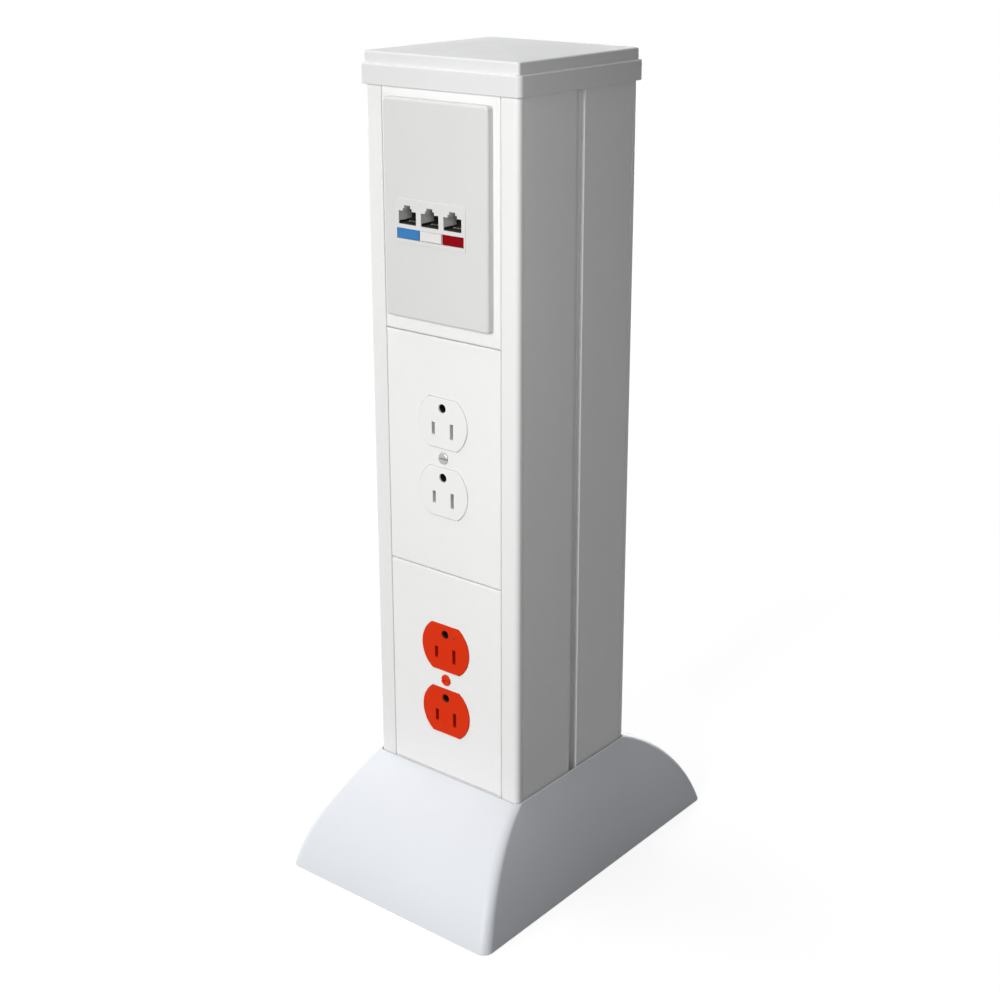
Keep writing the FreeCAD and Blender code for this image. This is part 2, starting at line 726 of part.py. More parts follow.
def screw(head_radius, head_height, shank_radius, shank_length):
    """A slotted pan-head screw: head above its origin, shank below."""
    head = rod(head_radius, head_height, (0, 0, 0))
    head = ease_solid(head, head_height * HEAD_ROUND, on_plane("z", head_height))
    shank = rod(shank_radius, shank_length, (0, 0, 0), "-Z")
    slot_floor = head_height - size.screw_slot_depth
    slot = block(about(0, size.screw_slot_width), about(0, head_radius * 3), (slot_floor, head_height * 2))
    return cut(fuse(head, shank), slot)


def column_fasteners():
    """Web screws with their nuts, foot bolts with their nuts, and foot screws."""
    reach = 2 * size.web_wall + size.web_nut_height + size.thread_end
    short = screw(size.web_screw_head, size.web_head_height, size.web_screw_radius, reach)
    group("web_screws", short, [
        ((across, -size.web_wall - extra, height), "-Y")
        for across, height, extra in web_screw_places()
    ])
    nut_hole = rod(size.web_screw_radius + size.hole_gap, size.web_nut_height, (0, 0, 0))
    nut = cut(hexagon(size.web_nut, size.web_nut_height, (0, 0, 0)), nut_hole)
    group("web_nuts", nut, [
        ((across, size.web_wall, height), "+Y") for across, height, extra in web_screw_places()
    ])
    shank = 2 * foot_back + size.nut_height + size.thread_end
    head = hexagon(size.bolt_head, size.bolt_head_height, (0, 0, 0))
    bolt = fuse(head, rod(size.bolt_radius, shank, (0, 0, 0), "-Z"))
    group("foot_bolts", bolt, [
        ((end * size.foot_spread / 2, -foot_back, size.foot_bolt_height), "-Y") for end in SIDES
    ])
    bolt_hole = rod(size.bolt_radius + size.hole_gap, size.nut_height, (0, 0, 0))
    bolt_nut = cut(hexagon(size.bolt_head, size.nut_height, (0, 0, 0)), bolt_hole)
    group("foot_nuts", bolt_nut, [
        ((end * size.foot_spread / 2, foot_back, size.foot_bolt_height), "+Y") for end in SIDES
    ])
    foot_top = size.plate_wall + size.foot_wall
    foot_screw = screw(size.bolt_head, size.bolt_head_height, size.bolt_radius, foot_top - size.hole_gap)
    group("foot_screws", foot_screw, [
        ((end * size.foot_spread / 2, side * size.foot_screw_offset, foot_top), "+Z")
        for end in SIDES
        for side in SIDES
    ])


def slope(half_base, half_top, height, bulge, plane, half_run):
    """A long prism whose two sloping flanks bulge outwards as arcs."""
    sketch = doc.addObject("Sketcher::SketchObject", "Flank")
    turn = FreeCAD.Rotation(FreeCAD.Vector(1, 0, 0), 90)
    if plane == "YZ":
        turn = FreeCAD.Rotation(FreeCAD.Vector(1, 1, 1), 120)
    sketch.Placement = FreeCAD.Placement(FreeCAD.Vector(), turn)
    lean = half_base - half_top
    radius = ((lean * lean + height * height) / 4 + bulge * bulge) / (2 * bulge)
    chord = math.hypot(lean.value, height.value)
    flanks = {}
    for end in SIDES:
        foot = FreeCAD.Vector(end * half_base.value, 0, 0)
        top = FreeCAD.Vector(end * half_top.value, height.value, 0)
        bulge_way = FreeCAD.Vector(end * height.value / chord, lean.value / chord, 0)
        middle = (foot + top) * 0.5 + bulge_way * bulge.value
        start, finish = (foot, top) if end > 0 else (top, foot)
        arc = sketch.addGeometry(Part.Arc(start, middle, finish), False)
        first = sketch.Geometry[arc].StartPoint
        foot_end = 1 if (first - foot).Length < (first - top).Length else 2
        dimension(sketch, "DistanceX", arc, foot_end, end * half_base)
        dimension(sketch, "DistanceY", arc, foot_end, 0)
        dimension(sketch, "DistanceX", arc, 3 - foot_end, end * half_top)
        dimension(sketch, "DistanceY", arc, 3 - foot_end, height)
        radius_dimension(sketch, arc, radius)
        flanks[end] = ((arc, foot_end, foot), (arc, 3 - foot_end, top))
    for left, right in zip(flanks[-1], flanks[1]):
        line = sketch.addGeometry(Part.LineSegment(left[2], right[2]), False)
        for point, (arc, arc_point, spot) in ((1, left), (2, right)):
            sketch.addConstraint(Sketcher.Constraint("Coincident", line, point, arc, arc_point))
    prism = doc.addObject("Part::Extrusion", "Flanks")
    prism.Base = sketch
    prism.DirMode = "Normal"
    prism.Solid = True
    prism.Symmetric = True
    bind(prism, "LengthFwd", 2 * half_run)
    return prism


def skirt_form(inset, height, top_inset):
    """The skirt's outer form, or its hollow when it is set in by the wall."""
    top = half_width + size.skirt_gap + size.skirt_brim - top_inset
    top_end = half_depth + size.skirt_gap + size.skirt_brim - top_inset
    foot = size.skirt_width / 2 - inset
    foot_end = size.skirt_length / 2 - inset
    side_form = slope(foot, top, height, size.skirt_bulge_side, "XZ", size.skirt_length)
    end_form = slope(foot_end, top_end, height, size.skirt_bulge_end, "YZ", size.skirt_length)
    return common(side_form, end_form)


def base_skirt():
    """Moulded skirt that hides the base plate; it slides up the column."""
    outer = skirt_form(as_length(0), size.skirt_height, as_length(0))
    doc.recompute()

    def mitre(edge):
        box = edge.BoundBox
        return box.ZLength > size.skirt_height.value / 2

    outer = ease_solid(outer, size.skirt_corner, mitre)
    hollow = skirt_form(size.skirt_wall, size.skirt_height - size.skirt_wall, size.skirt_brim)
    opening = block(
        about(0, size.column_width + 2 * size.skirt_gap),
        about(0, size.column_depth + 2 * size.skirt_gap),
        (size.skirt_height / 2, size.skirt_height * 2),
    )
    return node("base_skirt", cut(outer, hollow, opening))


def top_cap():
    """Moulded cap over the column's end, with a stepped rim and a domed top."""
    rim = half_width + size.cap_overhang
    rim_y = half_depth + size.cap_overhang
    band = rim - size.cap_step
    band_y = rim_y - size.cap_step
    step = size.cap_bottom + size.cap_rim
    body = new_body(
        "cap_form", "XY", (size.cap_bottom, step), (rectangle, (-rim, rim), (-rim_y, rim_y))
    )
    pad(body, "XY", (step, cap_top), (rectangle, (-band, band), (-band_y, band_y)))
    corners = [(end * band, side * band_y) for end in SIDES for side in SIDES]
    ease(body, size.cap_band_corner, along_axis("z", *corners))
    corners = [(end * rim, side * rim_y) for end in SIDES for side in SIDES]
    ease(body, size.cap_rim_corner, along_axis("z", *corners))
    dome = doc.addObject("Part::Sphere", "Crown")
    bind(dome, "Radius", size.crown_radius)
    place(dome, (0, 0, cap_top - size.crown_radius), "+Y")
    outer = common(body, dome)
    doc.recompute()

    def top_edge(edge):
        return edge.BoundBox.ZMin > (step.value + cap_top.value) / 2

    outer = ease_solid(outer, size.crown_edge, top_edge)
    sleeve = half_width + size.cap_gap
    sleeve_y = half_depth + size.cap_gap
    seat = size.column_top
    socket = block((-sleeve, sleeve), (-sleeve_y, sleeve_y), (size.cap_bottom - OVERRUN, seat))
    inner = band - size.cap_wall
    inner_y = band_y - size.cap_wall
    inner_dome = doc.addObject("Part::Sphere", "Inner_crown")
    bind(inner_dome, "Radius", size.crown_radius - size.cap_wall)
    place(inner_dome, (0, 0, cap_top - size.crown_radius), "+Y")
    hollow = common(block((-inner, inner), (-inner_y, inner_y), (size.cap_bottom, cap_top)), inner_dome)
    shell = cut(outer, socket, hollow)
    blade_edge = wall_inside - size.cap_gap
    blade_top = cap_top - size.cap_wall
    blades = [
        block(
            outward(end, blade_edge - size.blade_wall, blade_edge),
            outward(side, size.blade_near, size.blade_far),
            (seat - size.blade_drop, blade_top),
        )
        for end in SIDES
        for side in SIDES
    ]
    return node("top_cap", fuse(shell, *blades))


def channel_cover(label, side, low, high):
    """Snap-in cover with two legs; side is -1 at the front and 1 at the rear."""
    face = half_depth
    points = [
        (-cover_edge, face),
        (cover_edge, face),
        (cover_edge, face - size.cover_depth),
        (cover_edge - size.cover_leg, face - size.cover_depth),
        (cover_edge - size.cover_leg, face - size.cover_wall),
        (size.cover_leg - cover_edge, face - size.cover_wall),
        (size.cover_leg - cover_edge, face - size.cover_depth),
        (-cover_edge, face - size.cover_depth),
    ]
    points = [(across, side * depth) for across, depth in points]
    body = new_body(label, "XY", (low, high), (polygon, points))
    ease(body, size.cover_round, on_plane("y", side * face))
    return body


def socket_centres(centre):
    """Heights of an outlet's two socket centres."""
    return [centre + size.outlet_spacing / 2, centre - size.outlet_spacing / 2]


def outlet_cover(label, low, high, centre):
    """Front cover with openings for an outlet's two sockets and the cover screw."""
    body = channel_cover(label + "_form", -1, low, high)
    span = (front_face, front_face + size.cover_wall)
    radius = size.nose_radius + size.nose_gap
    half = size.nose_half + size.nose_gap
    openings = [(flatted_circle, (0, height), radius, half) for height in socket_centres(centre)]
    pocket(body, "XZ", span, *openings)
    sink = cone(
        size.plate_screw_head + size.hole_gap,
        size.plate_screw_radius + size.hole_gap,
        size.plate_screw_sink,
        (0, front_face, centre),
        "+Y",
    )
    through = rod(size.plate_screw_radius + size.hole_gap, size.cover_wall, (0, front_face, centre), "+Y")
    return node(label, cut(body, sink, through))


def cover_screw(label, centre):
    """Oval-head screw that holds an outlet cover to the strap."""
    head = cone(
        size.plate_screw_head,
        size.plate_screw_radius,
        size.plate_screw_sink,
        (0, front_face, centre),
        "+Y",
    )
    crown_front = front_face - size.plate_screw_crown
    crown = rod(size.plate_screw_head, size.plate_screw_crown, (0, front_face, centre), "-Y")
    crown = ease_solid(crown, size.plate_screw_round, on_plane("y", crown_front))
    shank = rod(size.plate_screw_radius, size.plate_screw_length, (0, front_face, centre), "+Y")
    slot = block(
        about(0, size.plate_screw_head * 3),
        (crown_front - OVERRUN, crown_front + size.screw_slot_depth),
        about(centre, size.screw_slot_width),
    )
    return node(label, cut(fuse(head, crown, shank), slot))


def device_bracket(label, centre, window_x, window_z):
    """Flat steel bracket screwed to the ledges, with a window for what it carries."""
    reach = wall_inside - size.bracket_gap
    hole = size.bracket_screw_radius + size.hole_gap
    strap_hole = size.strap_screw_radius + size.hole_gap
    holes = [(circle, spot, hole) for spot in bracket_screw_places(centre)]
    holes += [(circle, (0, centre + end * strap_half), strap_hole) for end in SIDES]
    body = new_body(
        label,
        "XZ",
        (bracket_front, bracket_back),
        (rectangle, (-reach, reach), about(centre, size.bracket_height)),
        (rectangle, (-window_x, window_x), (centre - window_z, centre + window_z)),
        *holes,
    )
    return node(label, body)


def outlet_face(label, centre):
    """Moulded front of an outlet: two socket faces with blade slots and ground holes."""
    back = front_face - size.nose_proud
    block_front = strap_front - size.face_wall
    body = new_body(
        label,
        "XZ",
        (block_front, strap_front),
        (rectangle, about(0, size.device_width), about(centre, size.device_height)),
    )
    noses = [(flatted_circle, (0, z), size.nose_radius, size.nose_half) for z in socket_centres(centre)]
    pad(body, "XZ", (back, block_front), *noses)
    ease(body, size.nose_bevel, on_plane("y", back), "Chamfer")
    openings = [(circle, (0, centre), size.face_screw_hole)]
    for height in socket_centres(centre):
        slots = height - size.slot_drop
        for end, slot in ((-1, size.hot_slot), (1, size.neutral_slot)):
            middle = end * size.slot_spread / 2
            openings.append((rectangle, about(middle, size.slot_width), about(slots, slot)))
        openings.append((circle, (0, height + size.ground_rise), size.ground_radius))
    pocket(body, "XZ", (back, strap_front), *openings)
    return node(label, body)


def outlet_strap(label, centre):
    """Steel strap between an outlet's face and its body."""
    openings = [(circle, (0, centre), size.plate_screw_radius + size.hole_gap)]
    strap_hole = size.strap_screw_radius + 2 * size.hole_gap
    openings += [(circle, (0, centre + end * strap_half), strap_hole) for end in SIDES]
    for height in socket_centres(centre):
        slots = about(height - size.slot_drop, size.neutral_slot)
        for end in SIDES:
            middle = end * size.slot_spread / 2
            openings.append((rectangle, about(middle, size.strap_slot), slots))
        openings.append((circle, (0, height + size.ground_rise), size.strap_ground_hole))
    body = new_body(
        label,
        "XZ",
        (strap_front, bracket_front),
        (rectangle, about(0, size.strap_width), about(centre, size.strap_length)),
        *openings,
    )
    corners = [
        (end * size.strap_width / 2, centre + top * size.strap_length / 2) for end in SIDES for top in SIDES
    ]
    ease(body, size.strap_corner, along_axis("y", *corners))
    return node(label, body)


def inward(end):
    """The direction from one end towards the middle."""
    return "-X" if end > 0 else "+X"


def contact_leg_block(end, centre, grow):
    """The leg of a blade contact where it passes through the outlet body's side."""
    near = size.slot_spread / 2 + size.blade_room / 2
    leg_front = bracket_front + size.leg_setback
    return block(
        outward(end, near, size.device_width / 2),
        (leg_front - grow, leg_front + size.contact_wall + grow),
        (centre - size.tab_leg - grow, centre + size.tab_leg + grow),
    )


def ground_leg_block(centre, grow):
    """The leg of the ground contact where it passes through the outlet body's side."""
    strip_back = bracket_front + size.contact_front + size.contact_depth
    level = centre - size.ground_terminal
    return block(
        outward(-1, as_length(0), size.device_width / 2),
        (strip_back - size.contact_wall - grow, strip_back + grow),
        (level - size.ground_leg - grow, level + size.ground_leg + grow),
    )


def terminal_spots(centre):
    """Terminal screws of an outlet: end, height."""
    return [(end, centre + up * size.terminal_spread) for end in SIDES for up in SIDES]


def outlet_body(label, centre):
    """Moulded tub behind the strap that holds an outlet's contacts."""
    back = bracket_front + size.device_depth
    body = new_body(
        label + "_form",
        "XZ",
        (strap_front, back),
        (rectangle, about(0, size.device_width), about(centre, size.device_height)),
    )
    ease(body, size.device_round, on_plane("y", back))
    inside = (
        about(0, size.device_width - 2 * size.device_wall),
        about(centre, size.device_height - 2 * size.device_wall),
    )
    pocket(body, "XZ", (strap_front, back - size.device_wall), (rectangle, *inside))
    notch = block(
        about(0, size.strap_width + 2 * size.hole_gap),
        (strap_front - OVERRUN, bracket_front),
        about(centre, size.device_height * 2),
    )
    legs = [contact_leg_block(end, centre, size.hole_gap) for end in SIDES]
    legs.append(ground_leg_block(centre, size.hole_gap))
    shank_hole = size.terminal_radius + size.hole_gap
    depth = bracket_front + size.terminal_setback
    spots = [(end, depth, height) for end, height in terminal_spots(centre)]
    spots.append((-1, bracket_front + size.ground_setback, centre - size.ground_terminal))
    holes = [
        rod(shank_hole, size.device_wall * 2, (end * size.device_width / 2, depth, height), inward(end))
        for end, depth, height in spots
    ]
    return node(label, cut(body, notch, *legs, *holes))


def blade_contact(label, end, centre):
    """Bus strip with spring leaves at both sockets and a terminal plate outside."""
    slot = size.slot_spread / 2
    metal = size.contact_wall
    near = slot - size.blade_room / 2
    far = slot + size.blade_room / 2
    front = bracket_front + size.contact_front
    back = front + size.contact_depth
    heights = [height - size.slot_drop for height in socket_centres(centre)]
    bar = block(
        outward(end, far, far + metal),
        (front, back),
        (heights[1] - size.contact_half, heights[0] + size.contact_half),
    )
    pieces = [bar]
    for height in heights:
        reach = (height - size.contact_half, height + size.contact_half)
        pieces.append(block(outward(end, near - metal, near), (front, back), reach))
        pieces.append(block(outward(end, near - metal, far + metal), (back - metal, back), reach))
    pieces.append(contact_leg_block(end, centre, as_length(0)))
    side = size.device_width / 2
    plate = block(
        outward(end, side, side + metal),
        (bracket_front + size.tab_near, bracket_front + size.tab_far),
        (centre - size.tab_half, centre + size.tab_half),
    )
    hole = size.terminal_radius + size.hole_gap
    depth = bracket_front + size.terminal_setback
    holes = [
        rod(hole, metal * 3, (end * (side + 2 * metal), depth, height), inward(end))
        for spot_end, height in terminal_spots(centre)
        if spot_end == end
    ]
    return node(label, cut(fuse(*pieces, plate), *holes))


def ground_contact(label, centre):
    """Two ground clips on one strip, with a terminal plate at the lower left."""
    metal = size.contact_wall
    strip_back = bracket_front + size.contact_front + size.contact_depth
    strip_front = strip_back - metal
    grounds = [height + size.ground_rise for height in socket_centres(centre)]
    tubes = [rod(size.clip_outer, strip_back - bracket_front, (0, bracket_front, z), "+Y") for z in grounds]
    bores = [rod(size.clip_inner, strip_front - bracket_front, (0, bracket_front, z), "+Y") for z in grounds]
    level = centre - size.ground_terminal
    strip = block(
        about(0, size.ground_strip),
        (strip_front, strip_back),
        (level - size.ground_leg, grounds[0]),
    )
    leg = ground_leg_block(centre, as_length(0))
    side = size.device_width / 2
    plate = block(
        outward(-1, side, side + metal),
        (bracket_front + size.tab_near, strip_back),
        about(level, size.terminal_head * 2),
    )
    hole = rod(
        size.terminal_radius + size.hole_gap,
        metal * 3,
        (-side - 2 * metal, bracket_front + size.ground_setback, level),
        inward(-1),
    )
    return node(label, cut(fuse(*tubes, strip, leg, plate), *bores, hole))


def outlet(colour, centre):
    """The separate pieces of one duplex outlet."""
    outlet_face(f"{colour}_outlet_face", centre)
    outlet_strap(f"{colour}_outlet_strap", centre)
    outlet_body(f"{colour}_outlet_body", centre)
    blade_contact(f"{colour}_hot_contact", -1, centre)
    blade_contact(f"{colour}_neutral_contact", 1, centre)
    ground_contact(f"{colour}_ground_contact", centre)


def device_fasteners():
    """Screws of the brackets, straps, carrier ring and outlet terminals."""
    outlets = (upper_outlet_height, size.lower_outlet_height)
    bracket_screw = screw(
        size.bracket_screw_head,
        size.strap_head_height,
        size.bracket_screw_radius,
        size.bracket_screw_length,
    )
    group("bracket_screws", bracket_screw, [
        ((across, bracket_front, height), "-Y")
        for centre in (*outlets, size.data_height)
        for across, height in bracket_screw_places(centre)
    ])
    strap_screw = screw(
        size.strap_head, size.strap_head_height, size.strap_screw_radius, size.strap_screw_length
    )
    group("strap_screws", strap_screw, [
        ((0, strap_front, centre + end * strap_half), "-Y") for centre in outlets for end in SIDES
    ])
    carrier_screw = screw(
        size.strap_head, size.strap_head_height, size.strap_screw_radius, size.carrier_screw_length
    )
    seat = front_face - size.carrier_wall + size.boss_sink
    group("carrier_screws", carrier_screw, [
        ((0, seat, size.data_height + end * strap_half), "-Y") for end in SIDES
    ])
    terminal = screw(
        size.terminal_head, size.terminal_head_height, size.terminal_radius, size.terminal_length
    )
    side = size.device_width / 2 + size.contact_wall
    depth = bracket_front + size.terminal_setback
    for label, end in (("hot_terminal_screws", -1), ("neutral_terminal_screws", 1)):
        group(label, terminal, [
            ((end * side, depth, height), "+X" if end > 0 else "-X")
            for centre in outlets
            for spot_end, height in terminal_spots(centre)
            if spot_end == end
        ])
    group("ground_terminal_screws", terminal, [
        ((-side, bracket_front + size.ground_setback, centre - size.ground_terminal), "-X")
        for centre in outlets
    ])


def data_bezel():
    """Fixed front cover of the data module with a window behind the data plate."""
    body = channel_cover("data_bezel", -1, size.joint_high + size.joint_gap / 2, size.column_top)
    reach = strap_half + size.boss_radius + size.bezel_margin
    pocket(
        body,
        "XZ",
        (front_face, front_face + size.cover_wall),
        (
            rectangle,
            (-size.bezel_window_x, size.bezel_window_x),
            (size.data_height - reach, size.data_height + reach),
        ),
    )
    return node("data_bezel", body)


def carrier_ring():
    """Ring in front of the bezel that the data plate clips onto, with two screw bosses."""
    back = front_face
    front = back - size.carrier_wall
    margin = size.data_wall + size.carrier_gap
    body = new_body(
        "carrier_ring",
        "XZ",
        (front, back),
        (
            rectangle,
            about(0, size.data_width - 2 * margin),
            about(size.data_height, size.data_length - 2 * margin),
        ),
        (
            rectangle,
            (-size.carrier_window_x, size.carrier_window_x),
            (size.data_height - size.carrier_window_z, size.data_height + size.carrier_window_z),
        ),
    )
    spots = [(0, size.data_height + end * strap_half) for end in SIDES]
    pad(body, "XZ", (back, bracket_front), *[(circle, spot, size.boss_radius) for spot in spots])
    hole = size.strap_screw_radius + size.hole_gap
    pocket(body, "XZ", (front, bracket_front), *[(circle, spot, hole) for spot in spots])
    seat = size.strap_head + size.hole_gap
    pocket(body, "XZ", (front, front + size.boss_sink), *[(circle, spot, seat) for spot in spots])
    return node("carrier_ring", body)


def frame_limits(inset):
    """Limits of the port frame on X and Z, set in from its brim."""
    across = about(size.port_offset, size.frame_width - 2 * inset)
    return across, (size.frame_low + inset, size.frame_high - inset)


def data_plate():
    """Wall plate, hollow behind, with an opening for the port frame."""
    body = new_body(
        "data_plate",
        "XZ",
        (plate_front, front_face),
        (rectangle, about(0, size.data_width), about(size.data_height, size.data_length)),
    )
    corners = [
        (end * size.data_width / 2, size.data_height + top * size.data_length / 2)
        for end in SIDES
        for top in SIDES
    ]
    ease(body, size.data_corner, along_axis("y", *corners))
    ease(body, size.data_round, on_plane("y", plate_front))
    pocket(
        body,
        "XZ",
        (plate_front + size.data_wall, front_face),
        (
            rectangle,
            about(0, size.data_width - 2 * size.data_wall),
            about(size.data_height, size.data_length - 2 * size.data_wall),
        ),
    )
    across, up = frame_limits(size.frame_brim - size.frame_gap)
    pocket(body, "XZ", (plate_front, plate_front + size.data_wall), (rectangle, across, up))
    return node("data_plate", body)


def port_centres():
    """Centres of the three ports on X, from the left."""
    return [size.port_offset + step * size.port_pitch for step in (-1, 0, 1)]


def port_outline(centre):
    """Points of one port opening: a rectangle with a stepped key notch on top."""
    top = size.port_floor + size.port_height
    step = top + size.key_step
    key_top = step + size.key_step
    right = [
        (size.port_width / 2, size.port_floor),
        (size.port_width / 2, top),
        (size.key_wide / 2, top),
        (size.key_wide / 2, step),
        (size.key_narrow / 2, step),
        (size.key_narrow / 2, key_top),
    ]
    left = [(-across, up) for across, up in reversed(right)]
    return [(centre + across, up) for across, up in right + left]


def jack_limits(centre, grow):
    """Limits of a jack's body on X and Z."""
    low = size.port_floor - size.jack_drop
    return about(centre, size.jack_width + 2 * grow), (low - grow, low + size.jack_height + grow)


def port_frame():
    """Frame in the data plate with three port openings and a recess for the tabs."""
    across, up = frame_limits(as_length(0))
    body = new_body("port_frame", "XZ", (frame_front, plate_front), (rectangle, across, up))
    ease(body, size.frame_round, on_plane("y", frame_front))
    inner_across, inner_up = frame_limits(size.frame_brim)
    pad(body, "XZ", (plate_front, frame_front + size.frame_depth), (rectangle, inner_across, inner_up))
    for centre in port_centres():
        pocket(body, "XZ", (frame_front, jack_front), (polygon, port_outline(centre)))
        hold = jack_limits(centre, size.jack_gap)
        pocket(body, "XZ", (jack_front, frame_front + size.frame_depth), (rectangle, *hold))
    row = 2 * size.port_pitch + size.tab_width + 2 * size.tab_gap
    bottom = size.tab_bottom
    pocket(
        body,
        "XZ",
        (frame_front, recess_floor),
        (
            rectangle,
            about(size.port_offset, row),
            (bottom - size.tab_gap, bottom + size.tab_height + size.tab_gap),
        ),
    )
    return node("port_frame", body)


def jack(side, centre):
    """One data jack: body with its port, eight contact wires and a rear cap."""
    body = new_body(
        f"{side}_jack_body", "XZ", (jack_front, jack_back), (rectangle, *jack_limits(centre, as_length(0)))
    )
    pocket(body, "XZ", (jack_front, port_back), (polygon, port_outline(centre)))
    node(f"{side}_jack_body", body)

    floor = size.port_floor
    bend = port_back - size.pin_reach
    tip = port_back - size.pin_tip
    outline = [
        (port_back, floor),
        (port_back, floor + size.pin_wall),
        (bend + 2 * size.pin_wall, floor + size.pin_wall),
        (tip, floor + size.pin_rise),
        (tip, floor + size.pin_rise + size.pin_wall),
        (bend, floor + size.pin_wall),
        (bend, floor),
    ]
    wires = []
    for number in range(PIN_COUNT):
        middle = centre + (number - (PIN_COUNT - 1) / 2) * size.pin_pitch
        wires.append(new_body("Wire", "YZ", about(middle, size.pin_wall), (polygon, outline)))
    pins = doc.addObject("Part::Compound", "Wires")
    pins.Links = wires
    node(f"{side}_jack_wires", pins)

    across, up = jack_limits(centre, as_length(0))
    cap = new_body(
        f"{side}_jack_cap", "XZ", (jack_back, jack_back + size.jack_cap_depth), (rectangle, across, up)
    )
    slots = []
    for number in range(WIRE_SLOT_COUNT):
        middle = centre + (number - (WIRE_SLOT_COUNT - 1) / 2) * size.cap_slot_pitch
        span = about(middle, size.cap_slot_width)
        slots.append((rectangle, span, (up[0], up[0] + size.cap_slot_depth)))
        slots.append((rectangle, span, (up[1] - size.cap_slot_depth, up[1])))
    pocket(cap, "XZ", (jack_back, jack_back + size.jack_cap_depth), *slots)
    node(f"{side}_jack_cap", cap)


def marker_tab(label, centre):
    """Coloured tab under a port."""
    front = recess_floor - size.tab_wall
    body = new_body(
        label,
        "XZ",
        (front, recess_floor),
        (rectangle, about(centre, size.tab_width), (size.tab_bottom, size.tab_bottom + size.tab_height)),
    )
    ease(body, size.tab_edge, on_plane("y", front), "Chamfer")
    return node(label, body)


def barrier_plate():
    """Sheet between the power wiring and the data module, flanged against the web."""
    reach = wall_inside - size.groove_depth - size.barrier_gap
    top = size.joint_high + size.barrier_flange
    points = [
        (-size.web_wall, size.joint_high),
        (-size.web_wall, top),
        (-size.web_wall - size.barrier_wall, top),
        (-size.web_wall - size.barrier_wall, size.joint_high + size.barrier_wall),
        (bracket_back + size.ledge_wall + size.barrier_gap, size.joint_high + size.barrier_wall),
        (bracket_back + size.ledge_wall + size.barrier_gap, size.joint_high),
    ]
    body = new_body("barrier_plate", "YZ", (-reach, reach), (polygon, points))
    hole = size.web_screw_radius + size.hole_gap
    pocket(
        body,
        "XZ",
        (-size.web_wall - size.barrier_wall, -size.web_wall),
        *[(circle, (end * size.web_screw_spread, size.web_screw_high), hole) for end in SIDES],
    )
    return node("barrier_plate", body)


def cable_bushing():
    """Rubber bushing in the web's cable hole, with a flange on each face."""
    at = (0, -size.web_wall - size.bushing_lip, size.cable_height)
    reach = 2 * (size.web_wall + size.bushing_lip)
    barrel = rod(size.cable_hole, reach, at, "+Y")
    front = rod(size.bushing_flange, size.bushing_lip, at, "+Y")
    rear = rod(size.bushing_flange, size.bushing_lip, (0, size.web_wall, size.cable_height), "+Y")
    bore = rod(size.bushing_bore, reach, at, "+Y")
    return node("cable_bushing", cut(fuse(barrel, front, rear), bore))


column_half("column_front", -1)
column_half("column_rear", 1)
base_plate()
for side_name, side in (("front", -1), ("rear", 1)):
    for end_name, end in (("left", -1), ("right", 1)):
        foot_bracket(f"foot_bracket_{side_name}_{end_name}", end, side)
column_fasteners()
base_skirt()
top_cap()

cover_low = size.skirt_height + size.skirt_joint
half_joint = size.joint_gap / 2
outlet_cover("lower_cover", cover_low, size.joint_low - half_joint, size.lower_outlet_height)
outlet_cover("upper_cover", size.joint_low + half_joint, size.joint_high - half_joint, upper_outlet_height)
cover_screw("lower_cover_screw", size.lower_outlet_height)
cover_screw("upper_cover_screw", upper_outlet_height)
node("rear_cover", channel_cover("rear_cover", 1, cover_low, size.cap_bottom - size.cap_joint))

device_bracket("lower_bracket", size.lower_outlet_height, size.bracket_window_x, size.bracket_window_z)
device_bracket("upper_bracket", upper_outlet_height, size.bracket_window_x, size.bracket_window_z)
device_bracket("data_bracket", size.data_height, size.data_window_x, size.data_window_z)
outlet("orange", size.lower_outlet_height)
outlet("white", upper_outlet_height)
device_fasteners()

barrier_plate()
cable_bushing()
data_bezel()
carrier_ring()
data_plate()
port_frame()
for side_name, centre in zip(("left", "middle", "right"), port_centres()):
    jack(side_name, centre)
for colour, centre in zip(("blue", "white", "red"), port_centres()):
    marker_tab(f"{colour}_tab", centre)

doc.recompute()
faults = [
    f"{item.Name} ({item.Label}): {state}"
    for item in doc.Objects
    for state in item.State
    if state in ("Invalid", "Error")
]
for item in nodes:
    if item.Shape.isNull() or not item.Shape.isValid() or not item.Shape.Solids:
        faults.append(f"{item.Label}: no valid solid")
if faults:
    raise SystemExit("\n".join(faults))

os.makedirs("parts", exist_ok=True)
for item in nodes:
    item.Shape.exportStep(f"parts/{item.Label}.step")
    print(f"{item.Label}: {len(item.Shape.Solids)} solids, {item.Shape.Volume:.1f} mm3")
print(f"{len(nodes)} nodes")
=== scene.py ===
"""Looks of a short power and data column, laid out as an add-on and run as a script.

The packed model is the fixed frame. Its solids get procedural finishes. The moulded shells, the
sills, the springs and combs of the data ports, the liners and the mark are surfaces worked out
here. The black liners of the ground holes and the black trays and back sheets of the combs are
painted shade deep in the holes and ports.
"""

import json
import math

import bpy
import numpy as np
from bpy.props import FloatProperty, FloatVectorProperty, PointerProperty
from mathutils import Matrix, Vector


